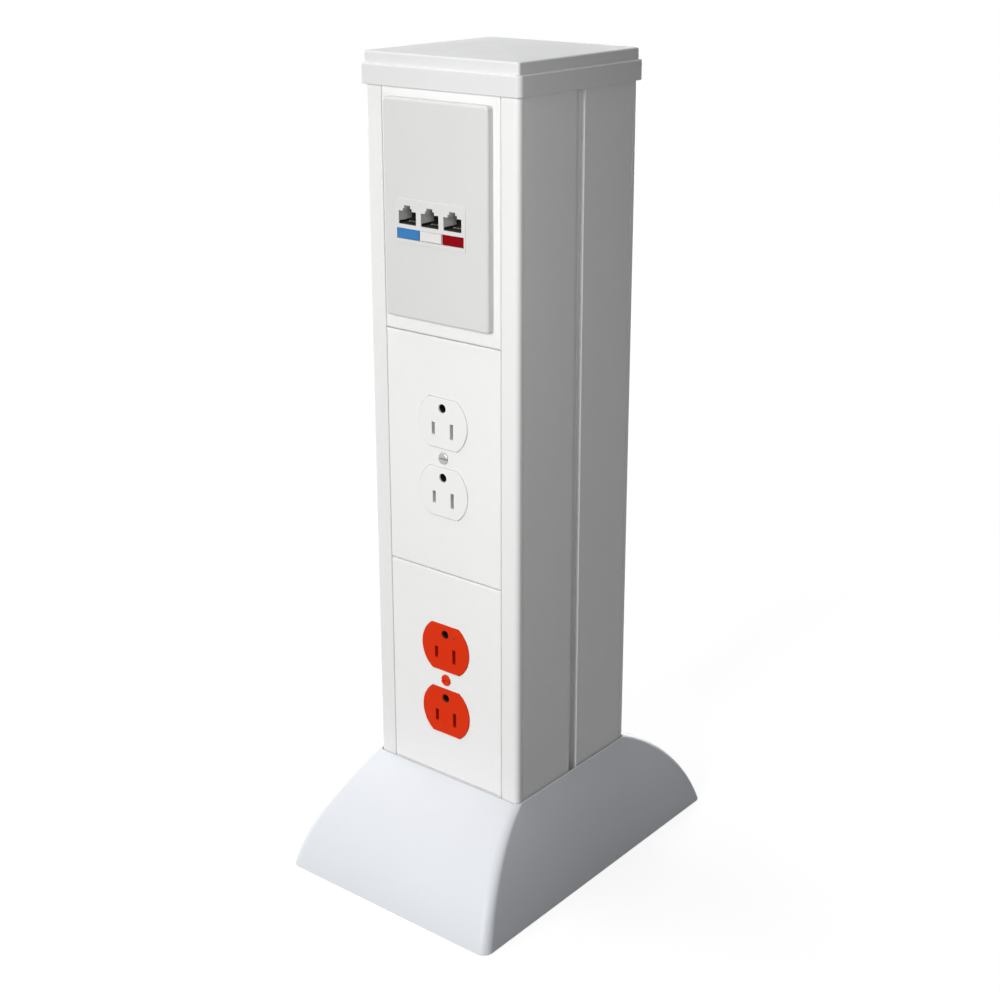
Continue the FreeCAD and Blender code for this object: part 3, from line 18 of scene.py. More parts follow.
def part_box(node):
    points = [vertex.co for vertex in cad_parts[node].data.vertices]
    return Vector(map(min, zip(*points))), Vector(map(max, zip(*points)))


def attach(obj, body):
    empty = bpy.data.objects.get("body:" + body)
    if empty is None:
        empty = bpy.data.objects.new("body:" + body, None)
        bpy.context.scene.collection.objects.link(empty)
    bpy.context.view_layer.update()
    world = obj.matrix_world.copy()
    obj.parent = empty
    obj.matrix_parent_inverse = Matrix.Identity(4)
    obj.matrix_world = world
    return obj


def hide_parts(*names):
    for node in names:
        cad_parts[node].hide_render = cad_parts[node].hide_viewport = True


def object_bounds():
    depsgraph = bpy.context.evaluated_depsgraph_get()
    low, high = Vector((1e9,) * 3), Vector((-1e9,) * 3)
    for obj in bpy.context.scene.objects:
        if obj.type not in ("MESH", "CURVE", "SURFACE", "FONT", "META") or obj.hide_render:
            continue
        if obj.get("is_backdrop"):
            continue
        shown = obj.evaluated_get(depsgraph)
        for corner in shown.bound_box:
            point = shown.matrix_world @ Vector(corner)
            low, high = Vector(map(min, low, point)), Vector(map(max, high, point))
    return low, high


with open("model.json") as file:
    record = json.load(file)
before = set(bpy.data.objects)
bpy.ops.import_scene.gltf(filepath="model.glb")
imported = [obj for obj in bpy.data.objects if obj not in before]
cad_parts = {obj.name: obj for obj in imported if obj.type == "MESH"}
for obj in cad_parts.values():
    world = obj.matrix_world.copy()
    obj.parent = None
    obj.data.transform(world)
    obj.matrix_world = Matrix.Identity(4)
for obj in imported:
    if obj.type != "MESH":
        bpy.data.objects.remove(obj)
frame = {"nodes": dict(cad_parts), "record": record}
CAD_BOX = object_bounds()

bl_info = {
    "name": "Mini Power Column",
    "version": (1, 0, 0),
    "blender": (4, 5, 0),
    "location": "View3D > Sidebar > Power Column",
    "description": "Finishes, moulded shells and studio of a short power and data column",
    "category": "Object",
}

MM = 0.001
ROUND = 2 * math.pi
QUARTER = math.pi / 2
ENDS = (-1, 1)
PORTS = ("left", "middle", "right")
SLOT_OF = {part["node"]: part["material_slot"] for part in frame["record"]["subparts"]}

# The photograph's camera: its place in metres, and where its right, up and back point
CAMERA_SPOT = (0.55573, -0.69006, 0.54081)
CAMERA_AXES = (
    (0.77902, 0.62699, -0.00092),
    (-0.19307, 0.24129, 0.95105),
    (0.59653, -0.74072, 0.30903),
)
CAMERA_LENS = {"sensor_width": 36.0, "lens": 60.404, "shift_x": -0.00297, "shift_y": -0.07072}
CAMERA_REACH = {"clip_start": 0.05, "clip_end": 100.0}

# The lamps by the setting that holds their power: place, width and height in metres
LAMPS = {
    "key": ((0.17, -2.44, 1.11), (1.1, 1.1)),
    "side": ((0.24, -0.24, 0.42), (0.12, 0.3)),
    "left": ((-2.4, 0.1, 0.7), (1.2, 1.0)),
    "rear": ((-0.75, 2.3, 0.45), (1.2, 0.8)),
    "top": ((-0.7, -0.1, 2.3), (1.2, 1.2)),
}
LAMP_AIM = Vector((0, 0, 0.22))
SKY, WHITE = (0.96, 0.98, 1.0), (1, 1, 1)

# What scratches, dust and draw lines show, and the heights in metres that a bump stands for
SCRATCHED, DUSTY = (0.62, 0.62, 0.61), (0.58, 0.56, 0.52)
COAT_LINE, COAT_SCRATCH = (0.55, 0.56, 0.57), (0.6, 0.6, 0.6)
BARE_STEEL, GREY_DUST = (0.5, 0.5, 0.49), (0.3, 0.29, 0.27)
GRAIN_BUMP, COAT_BUMP, BRUSH_BUMP = 0.0002, 0.0001, 0.00008


def limits(node):
    """Lowest and highest corner of a node in millimetres, as arrays."""
    low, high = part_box(node)
    return np.array(low) / MM, np.array(high) / MM


def in_mm(settings, names):
    """Lengths of a group of settings in millimetres, in the order of their names."""
    return [getattr(settings, name) / MM for name in names.split()]


# Levels read off the frame, in millimetres
COLUMN_HIGH = limits("column_front")[1]
COLUMN_HALF = COLUMN_HIGH[0]
SKIRT_HIGH = limits("base_skirt")[1]
CAP_LOW, CAP_HIGH = limits("top_cap")


def as_colour(label, text, value):
    """A colour property with its default."""
    return FloatVectorProperty(
        name=label, description=text, default=value, size=3, subtype="COLOR", min=0, max=1
    )


def as_length(label, text, value):
    """A length property in metres from a default in millimetres."""
    return FloatProperty(name=label, description=text, default=value * MM, min=0, unit="LENGTH")


def as_share(label, text, value):
    """A property without a unit."""
    return FloatProperty(name=label, description=text, default=value, min=0)


class SkirtSettings(bpy.types.PropertyGroup):
    """Sizes of the flared base skirt."""

    wall: as_length("Wall", "Thickness of the moulded skirt", 3.0)
    gap: as_length("Gap", "Clearance between the skirt and the column", 0.4)
    brim: as_length("Brim", "Flat brim round the top of the skirt", 0.9)
    bulge_side: as_length("Side bulge", "Bulge of the left and right slopes", 2.8)
    bulge_end: as_length("End bulge", "Bulge of the front and rear slopes", 8.6)
    corner_foot: as_length("Foot corner", "Corner rounding at the foot", 6.0)
    corner_top: as_length("Top corner", "Corner rounding at the brim", 4.8)
    corner_throat: as_length("Throat corner", "Corner rounding of the throat and the inside", 3.4)
    edge: as_length("Edge", "Softening of the moulded edges", 0.35)


class CapSettings(bpy.types.PropertyGroup):
    """Sizes of the top cap."""

    height: as_length("Height", "Lower edge of the rim to the crown", 20.0)
    rim: as_length("Rim", "Height of the cap's rim", 10.6)
    step: as_length("Step", "Rim to the upper band", 1.8)
    gap: as_length("Gap", "Clearance between the cap and the column", 0.4)
    wall: as_length("Wall", "Thickness of the cap's top", 2.6)
    dome: as_length("Dome", "Radius of the domed top", 750.0)
    rim_corner: as_length("Rim corner", "Rounding of the rim's corners", 3.2)
    band_corner: as_length("Band corner", "Rounding of the upper band's corners", 1.6)
    edge: as_length("Edge", "Softening of the cap's edges", 0.8)
    blade: as_length("Blade", "Thickness of the locating blades", 2.0)
    blade_width: as_length("Blade width", "Width of a locating blade", 24.0)
    blade_spread: as_length("Blade spread", "Middle of the column to the middle of a blade", 24.0)
    column_wall: as_length("Column wall", "Side wall that the blades reach behind", 2.2)


class SillSettings(bpy.types.PropertyGroup):
    """Sizes of the strips that close the column's openings under the covers."""

    width: as_length("Width", "Strip between the column's lips", 78.4)
    height: as_length("Height", "Height of a strip", 26.0)
    thick: as_length("Thickness", "Thickness of a strip", 2.0)
    joint: as_length("Joint", "Gap between a strip and the cover above it", 0.08)


class OutletSettings(bpy.types.PropertyGroup):
    """Sizes of the ground hole liners, black cups of painted shade, and of the triangle."""

    spacing: as_length("Spacing", "Distance between the two sockets of an outlet", 38.9)
    rise: as_length("Rise", "Middle of a socket up to its ground hole", 8.5)
    hole: as_length("Hole", "Radius of a ground hole", 2.5)
    liner: as_length("Liner", "Wall of the liner in a ground hole", 0.3)
    setback: as_length("Setback", "Socket face to the liner's edge", 0.7)
    mark: as_length("Mark", "Side of the triangle on the orange outlet", 1.9)
    mark_across: as_length("Mark across", "Middle of the outlet to the triangle, sideways", 6.5)
    mark_up: as_length("Mark up", "Middle of the outlet to the triangle, upwards", 27.5)


class PortSettings(bpy.types.PropertyGroup):
    """Sizes of the springs and their combs, with the black tray and back sheet that paint shade
    deep in each port.
    """

    spring: as_length("Spring", "Radius of a contact spring", 0.2)
    pitch: as_length("Pitch", "Distance between two springs", 1.02)
    bend: as_length("Bend", "Radius of a spring's bend", 0.45)
    arm: as_length("Arm", "Bend to the spring's free tip", 7.1)
    width: as_length("Port width", "Width of a port's inside", 11.9)
    front: as_length("Comb setback", "Port frame's face to the comb's tray", 0.4)
    depth: as_length("Comb depth", "Port frame's face to the comb's teeth", 9.5)
    back: as_length("Port depth", "Port frame's face to the back of the port", 16.4)
    rise: as_length("Comb rise", "Height of the comb's teeth", 6.8)
    curb: as_length("Curb", "Height of the tray's side curbs", 1.5)
    sheet: as_length("Sheet", "Thickness of the tray and the curbs", 0.5)


class FinishSettings(bpy.types.PropertyGroup):
    """Colours and surface detail of the finishes."""

    column: as_colour("Column", "Powder coat of the extrusion", (0.80, 0.80, 0.79))
    cover: as_colour("Covers", "Moulded covers", (0.835, 0.835, 0.825))
    skirt: as_colour("Skirt", "Moulded base skirt", (0.68, 0.70, 0.735))
    cap: as_colour("Cap", "Moulded top cap", (0.71, 0.71, 0.71))
    plate: as_colour("Data plate", "Moulded wall plate", (0.66, 0.66, 0.65))
    white: as_colour("White outlet", "White nylon", (0.83, 0.83, 0.82))
    orange: as_colour("Orange outlet", "Orange nylon", (0.69, 0.028, 0.0))
    jack: as_colour("Jacks", "Body of the data jacks", (0.7, 0.7, 0.68))
    blue: as_colour("Blue tab", "First marker tab", (0.036, 0.195, 0.468))
    red: as_colour("Red tab", "Third marker tab", (0.25, 0.0, 0.004))
    grain_size: as_length("Grain size", "Size of the moulded grain", 0.55)
    grain_depth: as_share("Grain depth", "Strength of the moulded grain", 0.16)
    drift: as_share("Tone drift", "Share by which a colour wanders", 0.018)


class StageSettings(bpy.types.PropertyGroup):
    """Light and floor of the studio."""

    floor: as_colour("Floor", "Colour of the floor", (0.28, 0.28, 0.285))
    lift: as_share("Floor lift", "Share of white that the floor shows by itself", 0.8)
    key: as_share("Key", "Power of the soft key lamp in watts", 53.0)
    side: as_share("Side", "Power of the near side lamp in watts", 0.225)
    left: as_share("Left", "Power of the soft lamp on the left in watts", 22.0)
    rear: as_share("Rear", "Power of the soft rear lamp in watts", 32.0)
    top: as_share("Top", "Power of the soft lamp overhead in watts", 24.0)
    ambient: as_share("Ambient", "Strength of the surrounding light", 0.02)


# Geometry: rings and profiles worked out as whole arrays


def quarter(count):
    """Cosines and sines of evenly spaced angles over a quarter turn."""
    angle = np.linspace(0, QUARTER, count)
    return np.cos(angle), np.sin(angle)


def turned(radius, steps):
    """Across and up of rings about an axis, one row per radius, at evenly spaced angles."""
    angle = np.linspace(0, ROUND, steps, endpoint=False)
    radius = np.asarray(radius, float)[:, None]
    return radius * np.cos(angle), radius * np.sin(angle)


def spread(count, pitch, middle):
    """Evenly spaced places on both sides of a middle."""
    return (np.arange(count) - (count - 1) / 2) * pitch + middle


def there_and_back(half, sign=1):
    """A row of values followed by the same values in reverse, times a sign."""
    return np.concatenate((half, sign * half[::-1]))


def rounded_rings(half_x, half_y, radius, corner_steps=10, support=0.5, largest=0.98):
    """Rings that run round a rectangle with rounded corners, one ring per row.

    Each corner is a quarter circle about a centre that lies its radius in from both sides, and a
    support point stands on each side just past the corner, so that the flats shade flat. A radius
    takes at most the largest share of the smaller half width.
    """
    given = (half_x, half_y, radius)
    half_x, half_y, radius = (np.asarray(values, float)[:, None] for values in given)
    radius = np.minimum(radius, np.minimum(half_x, half_y) * largest)
    reach_x, reach_y = (np.minimum(support, (half - radius) / 2) for half in (half_x, half_y))
    turn = np.linspace(0, QUARTER, corner_steps)
    across, up = [], []
    for corner, (side, end) in enumerate(((1, 1), (-1, 1), (-1, -1), (1, -1))):
        angle = turn + corner * QUARTER
        x = side * (half_x - radius) + radius * np.cos(angle)
        y = end * (half_y - radius) + radius * np.sin(angle)
        before, after = angle[0], angle[-1]
        across += [x[:, :1] + np.sin(before) * reach_x, x, x[:, -1:] - np.sin(after) * reach_x]
        up += [y[:, :1] - np.cos(before) * reach_y, y, y[:, -1:] + np.cos(after) * reach_y]
    return np.concatenate(across, axis=1), np.concatenate(up, axis=1)


def grid_faces(rows, columns, close_rows=False):
    """Corner numbers of the four-sided faces of a grid whose rows close on themselves."""
    row = np.arange(rows if close_rows else rows - 1)
    row, column = (item.ravel() for item in np.meshgrid(row, np.arange(columns), indexing="ij"))
    next_row, next_column = (row + 1) % rows, (column + 1) % columns
    corners = ((row, column), (row, next_column), (next_row, next_column), (next_row, column))
    return np.stack([at_row * columns + at_column for at_row, at_column in corners], axis=1)


def fan(pole, first, second):
    """Corner numbers of the three-sided faces between a pole and the edges of a ring."""
    return np.stack((np.full(len(first), pole), first, second), axis=1)


def build_piece(name, points, faces, fans=(), smooth_angle=None):
    """A mesh object from points in millimetres, four-sided faces and optional three-sided ones."""
    points = np.asarray(points, float).reshape(-1, 3) * MM
    quads = np.asarray(faces, int).reshape(-1, 4)
    triangles = np.concatenate(fans).reshape(-1, 3) if len(fans) else np.empty((0, 3), int)
    mesh = bpy.data.meshes.new(name)
    mesh.vertices.add(len(points))
    mesh.vertices.foreach_set("co", points.astype(np.float32).ravel())
    corners = np.concatenate((quads.ravel(), triangles.ravel())).astype(np.int32)
    starts = np.concatenate((np.arange(len(quads)) * 4, quads.size + np.arange(len(triangles)) * 3))
    mesh.loops.add(len(corners))
    mesh.loops.foreach_set("vertex_index", corners)
    mesh.polygons.add(len(starts))
    mesh.polygons.foreach_set("loop_start", starts.astype(np.int32))
    mesh.polygons.foreach_set("use_smooth", np.ones(len(starts), bool))
    mesh.update(calc_edges=True)
    if mesh.validate():
        raise RuntimeError(f"{name} has faults in its mesh")
    if smooth_angle is not None:
        mesh.set_sharp_from_angle(angle=math.radians(smooth_angle))
    piece = bpy.data.objects.new(name, mesh)
    bpy.context.scene.collection.objects.link(piece)
    return piece


def outwards(points, faces, fans):
    """Faces of a closed form, turned round if its volume comes out negative.

    The volume is the sum over all triangles of the pyramid between them and the origin, a sixth of
    the triple product of their corners, and is positive where faces point outwards.
    """
    triangles = np.concatenate((faces[:, :3], faces[:, [0, 2, 3]], *fans))
    first, second, third = (points[triangles[:, corner]] for corner in range(3))
    if (first * np.cross(second, third)).sum() < 0:
        return faces[:, ::-1], [some[:, ::-1] for some in fans]
    return faces, fans


def shell(rows_x, rows_y, rows_z, close_rows=False):
    """Points and faces of rings joined one to the next; open ends are closed at a middle point."""
    rows, columns = rows_x.shape
    points = np.stack((rows_x, rows_y, rows_z), axis=2).reshape(-1, 3)
    faces = grid_faces(rows, columns, close_rows=close_rows)
    if close_rows:
        return points, *outwards(points, faces, [])
    ring = np.arange(columns)
    following = (ring + 1) % columns
    last = (rows - 1) * columns
    first_pole, last_pole = rows * columns, rows * columns + 1
    fans = [fan(first_pole, following, ring), fan(last_pole, last + ring, last + following)]
    poles = (points[:columns].mean(axis=0), points[last:].mean(axis=0))
    points = np.concatenate((points, poles))
    return points, *outwards(points, faces, fans)


def flat_rows(level, rings):
    """Each ring's level at every point of the ring."""
    return np.repeat(level[:, None], rings.shape[1], axis=1)


def bulged(foot, top, height, bulge, level):
    """Distance from the middle of a slope that bulges outwards as an arc, at each level.

    The arc runs from the foot at level nought to the top, and its sagitta is the bulge.
    """
    chord = math.hypot(foot - top, height)
    radius = (chord * chord / 4 + bulge * bulge) / (2 * bulge)
    inward = np.array((-height, -(foot - top))) / chord
    middle = np.array(((foot + top) / 2, height / 2)) + inward * (radius - bulge)
    return middle[0] + np.sqrt(np.maximum(radius**2 - (level - middle[1]) ** 2, 0))


def skirt_points(settings):
    """The skirt's closed wall: up the bulged outside, over the brim, down throat and inside.

    Every row is a rounded rectangle whose half widths come from the arcs of the side and end
    slopes.
    """
    wall, gap, brim, edge, side, end, corner_foot, corner_top, corner_throat = in_mm(
        settings, "wall gap brim edge bulge_side bulge_end corner_foot corner_top corner_throat"
    )
    outer_rows, inner_rows, margin = 34, 20, 1.0
    foot_x, foot_y, height = SKIRT_HIGH
    throat = COLUMN_HALF + gap
    cosine, sine = quarter(6)
    slope = np.linspace(2 * margin, height - 2 * margin, outer_rows)
    rise = np.concatenate(([edge * 2], slope, [height - edge * 2]))
    outer_level = np.concatenate((edge * (1 - sine[::-1]), rise, height - edge * (1 - sine)))
    inset = np.concatenate((edge * (1 - cosine[::-1]), np.zeros(len(rise)), edge * (1 - cosine)))
    share = outer_level / height
    outer_corner = corner_foot * (1 - share) + corner_top * share
    inner_top = height - wall
    over_edge = height - edge * (1 - sine[::-1])
    throat_level = np.concatenate((over_edge, [height - wall * 0.6, inner_top]))
    throat_half = np.concatenate((throat + edge * (1 - cosine[::-1]), [throat, throat]))
    inner_level = np.append(np.linspace(inner_top - margin, margin, inner_rows), 0.0)
    level = np.concatenate((outer_level, throat_level, inner_level))
    half_x, half_y = (
        np.concatenate(
            (
                bulged(foot, throat + brim, height, bulge, outer_level) - inset,
                throat_half,
                bulged(foot - wall, throat, inner_top, bulge, inner_level),
            )
        )
        for foot, bulge in ((foot_x, side), (foot_y, end))
    )
    radius = np.append(outer_corner, np.full(len(throat_level) + len(inner_level), corner_throat))
    across, along = rounded_rings(half_x, half_y, radius, corner_steps=12)
    return shell(across, along, flat_rows(level, across), close_rows=True)


def cap_points(settings):
    """The cap's closed wall: from the middle of the dome out, down both bands and up the inside.

    A row's height is its level less the dome's drop, which grows with the square of the distance
    from the axis, times a share that is one on the dome and nought on the rim. Single rows a
    little past each rounding keep the flats beside it flat.
    """
    height, rim, step, gap, wall, dome, rim_corner, band_corner, edge = in_mm(
        settings, "height rim step gap wall dome rim_corner band_corner edge"
    )
    hub, hub_corner, dome_rows, roof_rows = 0.6, 0.3, 14, 10
    rim_half, _, top = CAP_HIGH
    low = top - height
    ledge = low + rim
    band_half = rim_half - step
    inner_half = band_half - wall
    inner_corner = max(band_corner - wall, hub_corner)
    sleeve = COLUMN_HALF + gap
    seat = COLUMN_HIGH[2]
    cosine, sine = quarter(7)
    small = edge / 2
    dome_half = np.linspace(hub, band_half - edge * 2.5, dome_rows)
    rows = [
        # half width, corner radius, level, share of the dome
        (dome_half, np.linspace(hub_corner, band_corner, dome_rows), top, 1),
        (band_half - edge + edge * sine, band_corner, top - edge * (1 - cosine), 1),
        ([band_half], band_corner, top - edge * 1.6, 1),
        ([band_half], band_corner, ledge + small * 2.4, 0),
        (band_half + small * (1 - cosine), band_corner, ledge + small * (1 - sine), 0),
        (rim_half - edge + edge * sine, rim_corner, ledge - edge * (1 - cosine), 0),
        ([rim_half, rim_half], rim_corner, [ledge - edge * 1.8, low + small * 2], 0),
        (rim_half - small * (1 - cosine), rim_corner, low + small * (1 - sine), 0),
        (sleeve + small * (1 - sine), rim_corner, low + small * (1 - cosine), 0),
        ([sleeve, sleeve], rim_corner, [low + small * 3, seat], 0),
        ([inner_half + small, inner_half], inner_corner, [seat, seat + small], 0),
        ([inner_half], inner_corner, top - wall - small, 1),
        (np.linspace(inner_half - small, hub, roof_rows), inner_corner, top - wall, 1),
    ]
    half, radius, level, share = (
        np.concatenate([np.broadcast_to(np.asarray(row[part], float), len(row[0])) for row in rows])
        for part in range(4)
    )
    across, along = rounded_rings(half, half, radius)
    fall = (across**2 + along**2) / (2 * dome) * share[:, None]
    return shell(across, along, level[:, None] - fall)


def plates(centres, half_sizes, radius, edge, thin_axis=0):
    """Thin plates with rounded outlines and eased rims, one per centre, in one mesh.

    Rows run from the middle of one face to its rim, through the thickness and back to the middle of
    the other face. Half sizes are given along the thin axis and the two that come after it in the
    round X, Y, Z, X.
    """
    cosine, sine = quarter(5)
    thin, wide, tall = half_sizes
    hub = min(wide, tall) * 0.9
    inset = there_and_back(np.concatenate(([hub, edge * 2], edge * (1 - sine))))
    level = there_and_back(np.concatenate(([thin, thin], thin - edge * (1 - cosine))), -1)
    corner = np.full(len(inset), radius)
    along, up = rounded_rings(wide - inset, tall - inset, corner, corner_steps=6)
    points, faces, fans = shell(flat_rows(level, along), along, up)
    return repeated(np.roll(points, thin_axis, axis=1), faces, fans, centres)


def repeated(points, faces, fans, places):
    """One closed form set down at each place, as points, faces and fans of a single mesh."""
    places = np.asarray(places, float)
    shift = (np.arange(len(places)) * len(points))[:, None, None]
    fans = [(some[None] + shift).reshape(-1, 3) for some in fans]
    return places[:, None, :] + points[None], faces[None] + shift, fans


def joined(*forms):
    """Several forms of points, faces and fans as one."""
    points, faces, fans, count = [], [], [], 0
    for some_points, some_faces, some_fans in forms:
        some_points = np.reshape(some_points, (-1, 3))
        points.append(some_points)
        faces.append(np.reshape(some_faces, (-1, 4)) + count)
        fans += [some + count for some in some_fans]
        count += len(some_points)
    return np.concatenate(points), np.concatenate(faces), fans


def along_path(path, radius, sides=10):
    """Points and faces of a round wire that follows a path in a plane square to X.

    path holds one row of Y and Z per step. Each ring stands square to the path's direction there,
    worked out from the steps before and after it.
    """
    direction = np.gradient(path, axis=0)
    direction /= np.linalg.norm(direction, axis=1)[:, None]
    normal = np.stack((-direction[:, 1], direction[:, 0]), axis=1)
    across, sideways = turned([radius], sides)
    ring = path[:, None, :] + sideways[0, :, None] * normal[:, None, :]
    return shell(np.repeat(across, len(path), axis=0), ring[:, :, 0], ring[:, :, 1])


# Node trees: short ways to wire them, and the groups that the finishes share


class Wiring:
    """Short ways to add and join nodes in a tree."""

    def __init__(self, tree):
        self.tree = tree

    def add(self, kind, *values, **settings):
        """A node; a setting is a property or a named input, plain values go to its first inputs."""
        node = self.tree.nodes.new("ShaderNode" + kind)
        for key, value in settings.items():
            if key in node.bl_rna.properties:
                setattr(node, key, value)
            else:
                self.feed(node.inputs[key.replace("_", " ")], value)
        for socket, value in zip(node.inputs, values):
            self.feed(socket, value)
        return node

    def feed(self, socket, value):
        """Join a socket to another, or set its value; a colour without an alpha is opaque."""
        if isinstance(value, bpy.types.NodeSocket):
            self.tree.links.new(value, socket)
        else:
            opaque = socket.type == "RGBA" and len(value) == 3
            socket.default_value = (*value, 1.0) if opaque else value

    def math(self, operation, first, second=0.0):
        """A value worked out from one or two others."""
        return self.add("Math", first, second, operation=operation).outputs[0]

    def plus(self, first, second):
        """A sum."""
        return self.math("ADD", first, second)

    def times(self, first, second):
        """A product."""
        return self.math("MULTIPLY", first, second)

    def centred(self, value):
        """A noise's value less its middle."""
        return self.math("SUBTRACT", value, 0.5)

    def span(self, value, low, high, to_low=0.0, to_high=1.0):
        """A value carried from one span to another, held at its ends."""
        return self.add("MapRange", value, low, high, to_low, to_high).outputs[0]

    def place(self, scale=(1, 1, 1), turn=(0, 0, 0)):
        """Object coordinates, stretched and turned."""
        source = self.add("TexCoord").outputs["Object"]
        return self.add("Mapping", Vector=source, Scale=scale, Rotation=turn).outputs["Vector"]

    def noise(self, vector, size, detail, roughness=0.55):
        """Soft noise with features of a given size in metres."""
        values = {"Scale": self.math("DIVIDE", 1.0, size), "Detail": detail, "Roughness": roughness}
        return self.add("TexNoise", Vector=vector, **values).outputs["Fac"]

    def mixed(self, factor, first, second):
        """Two colours mixed by a factor."""
        return self.add("Mix", data_type="RGBA", Factor=factor, A=first, B=second).outputs["Result"]

    def seen_directly(self):
        """One where the camera, a reflection or glass looks straight at the surface."""
        path = self.add("LightPath").outputs
        seen = self.math("MAXIMUM", path["Is Camera Ray"], path["Is Glossy Ray"])
        return self.math("MAXIMUM", seen, path["Is Transmission Ray"])


class Paint(Wiring):
    """The wiring of a material with its shader, whose own sockets may get values at once."""

    def __init__(self, name, **values):
        self.material = bpy.data.materials.new(name)
        self.material.use_nodes = True
        super().__init__(self.material.node_tree)
        self.shader = self.tree.nodes["Principled BSDF"]
        self.surface(**values)

    def surface(self, **values):
        """Set or feed the shader's sockets by name."""
        for label, value in values.items():
            self.feed(self.shader.inputs[label.replace("_", " ")], value)

    def bump(self, height, strength, distance):
        """Feed a height to the shader's normal."""
        node = self.add("Bump", Height=height, Strength=strength, Distance=distance)
        self.surface(Normal=node.outputs["Normal"])


GROUPS = {}


def build_group(name, wire, outputs, inputs):
    """A node group whose outputs are what a function wires from its inputs."""
    group = bpy.data.node_groups.new(name, "ShaderNodeTree")

    def socket(label, end):
        """A new socket of the group, for a colour or a plain value."""
        kind = "NodeSocketColor" if label == "Colour" else "NodeSocketFloat"
        return group.interface.new_socket(name=label, in_out=end, socket_type=kind)

    for label, default in inputs.items():
        socket(label, "INPUT").default_value = default
    for label in outputs:
        socket(label, "OUTPUT")
    given, made = (group.nodes.new(kind) for kind in ("NodeGroupInput", "NodeGroupOutput"))
    tree = Wiring(group)
    for end, value in zip(made.inputs, wire(tree, given.outputs)):
        tree.feed(end, value)
    return group


def shared(name, *outputs, **inputs):
    """Turn a function that wires an effect into one that places it as a group.

    The group is built when it is first placed, and each place sets its inputs for itself.
    """

    def wrapped(wire):
        def place(tree, **values):
            if name not in GROUPS:
                GROUPS[name] = build_group(name, wire, outputs, inputs)
            made = tree.add("Group", node_tree=GROUPS[name], **values).outputs
            return made[0] if len(outputs) == 1 else made

        return place

    return wrapped


@shared("Tone drift", "Colour", Colour=(0.8, 0.8, 0.8, 1), Amount=0.02, Size=0.06)
def tone(tree, given):
    """Colour that wanders in soft patches, with finer mottling inside them."""
    mottle_size, mottle_share, swing = 0.07, 0.3, 4.0
    vector = tree.place()
    wide = tree.noise(vector, given["Size"], detail=2.0)
    fine = tree.noise(vector, tree.times(given["Size"], mottle_size), detail=4.0)
    both = tree.plus(tree.times(wide, 1 - mottle_share), tree.times(fine, mottle_share))
    factor = tree.plus(tree.times(tree.times(tree.centred(both), swing), given["Amount"]), 1.0)
    return tree.add("VectorMath", given["Colour"], operation="SCALE", Scale=factor).outputs[:1]


@shared("Gloss drift", "Roughness", Roughness=0.4, Amount=0.05, Size=0.03)
def gloss(tree, given):
    """Roughness that wanders in smudges."""
    swing, smoothest = 3.0, 0.05
    noise = tree.noise(tree.place(scale=(1, 1, 0.6)), given["Size"], detail=5.0, roughness=0.6)
    drift = tree.times(tree.times(tree.centred(noise), swing), given["Amount"])
    return [tree.math("MAXIMUM", tree.plus(given["Roughness"], drift), smoothest)]


@shared("Fine grain", "Height", Size=0.0006, Depth=1.0)
def fine_grain(tree, given):
    """Height of a fine moulded or sprayed grain: soft noise over small rounded cells."""
    cell_size, cell_share = 0.8, 0.35
    vector = tree.place()
    soft = tree.noise(vector, given["Size"], detail=2.0)
    scale = tree.math("DIVIDE", cell_size, given["Size"])
    cells = tree.add("TexVoronoi", feature="SMOOTH_F1", Vector=vector, Scale=scale).outputs[0]
    both = tree.plus(tree.times(soft, 1 - cell_share), tree.times(cells, cell_share))
    return [tree.times(both, given["Depth"])]


@shared("Draw lines", "Height", "Mask", Size=0.002, Depth=1.0)
def draw_lines(tree, given):
    """Height and mask of long fine lines that run up an extrusion."""
    noise = tree.noise(tree.place(scale=(1, 1, 0.006)), given["Size"], detail=4.0, roughness=0.7)
    return tree.times(noise, given["Depth"]), tree.span(noise, 0.45, 0.7)


@shared("Scuffs", "Mask", Amount=0.3, Size=0.02)
def scuff(tree, given):
    """Mask of sparse thin scratches that cross each other."""
    long, fine, thinness = (1, 9, 1), 0.12, 0.012
    masks = []
    for turn in ((0.2, 0.7, 0.4), (1.1, -0.5, 1.3)):
        line = tree.noise(tree.place(long, turn), tree.times(given["Size"], fine), detail=2.0)
        thin = tree.span(tree.math("ABSOLUTE", tree.centred(line)), 0.0, thinness, 1.0, 0.0)
        patch = tree.span(tree.noise(tree.place(turn=turn), given["Size"], detail=1.0), 0.56, 0.7)
        masks.append(tree.times(thin, patch))
    return [tree.times(tree.math("MAXIMUM", *masks), given["Amount"])]


@shared("Settled dust", "Mask", Amount=0.1, Size=0.01)
def settled_dust(tree, given):
    """Mask of dust that settles on faces that look up, broken by noise."""
    split = tree.add("SeparateXYZ", tree.add("NewGeometry").outputs["Normal"])
    upward = tree.span(split.outputs["Z"], 0.5, 1.0)
    noise = tree.noise(tree.place(), given["Size"], detail=6.0, roughness=0.7)
    return [tree.times(tree.times(upward, tree.span(noise, 0.35, 0.75)), given["Amount"])]


# Finishes: the materials of the slots


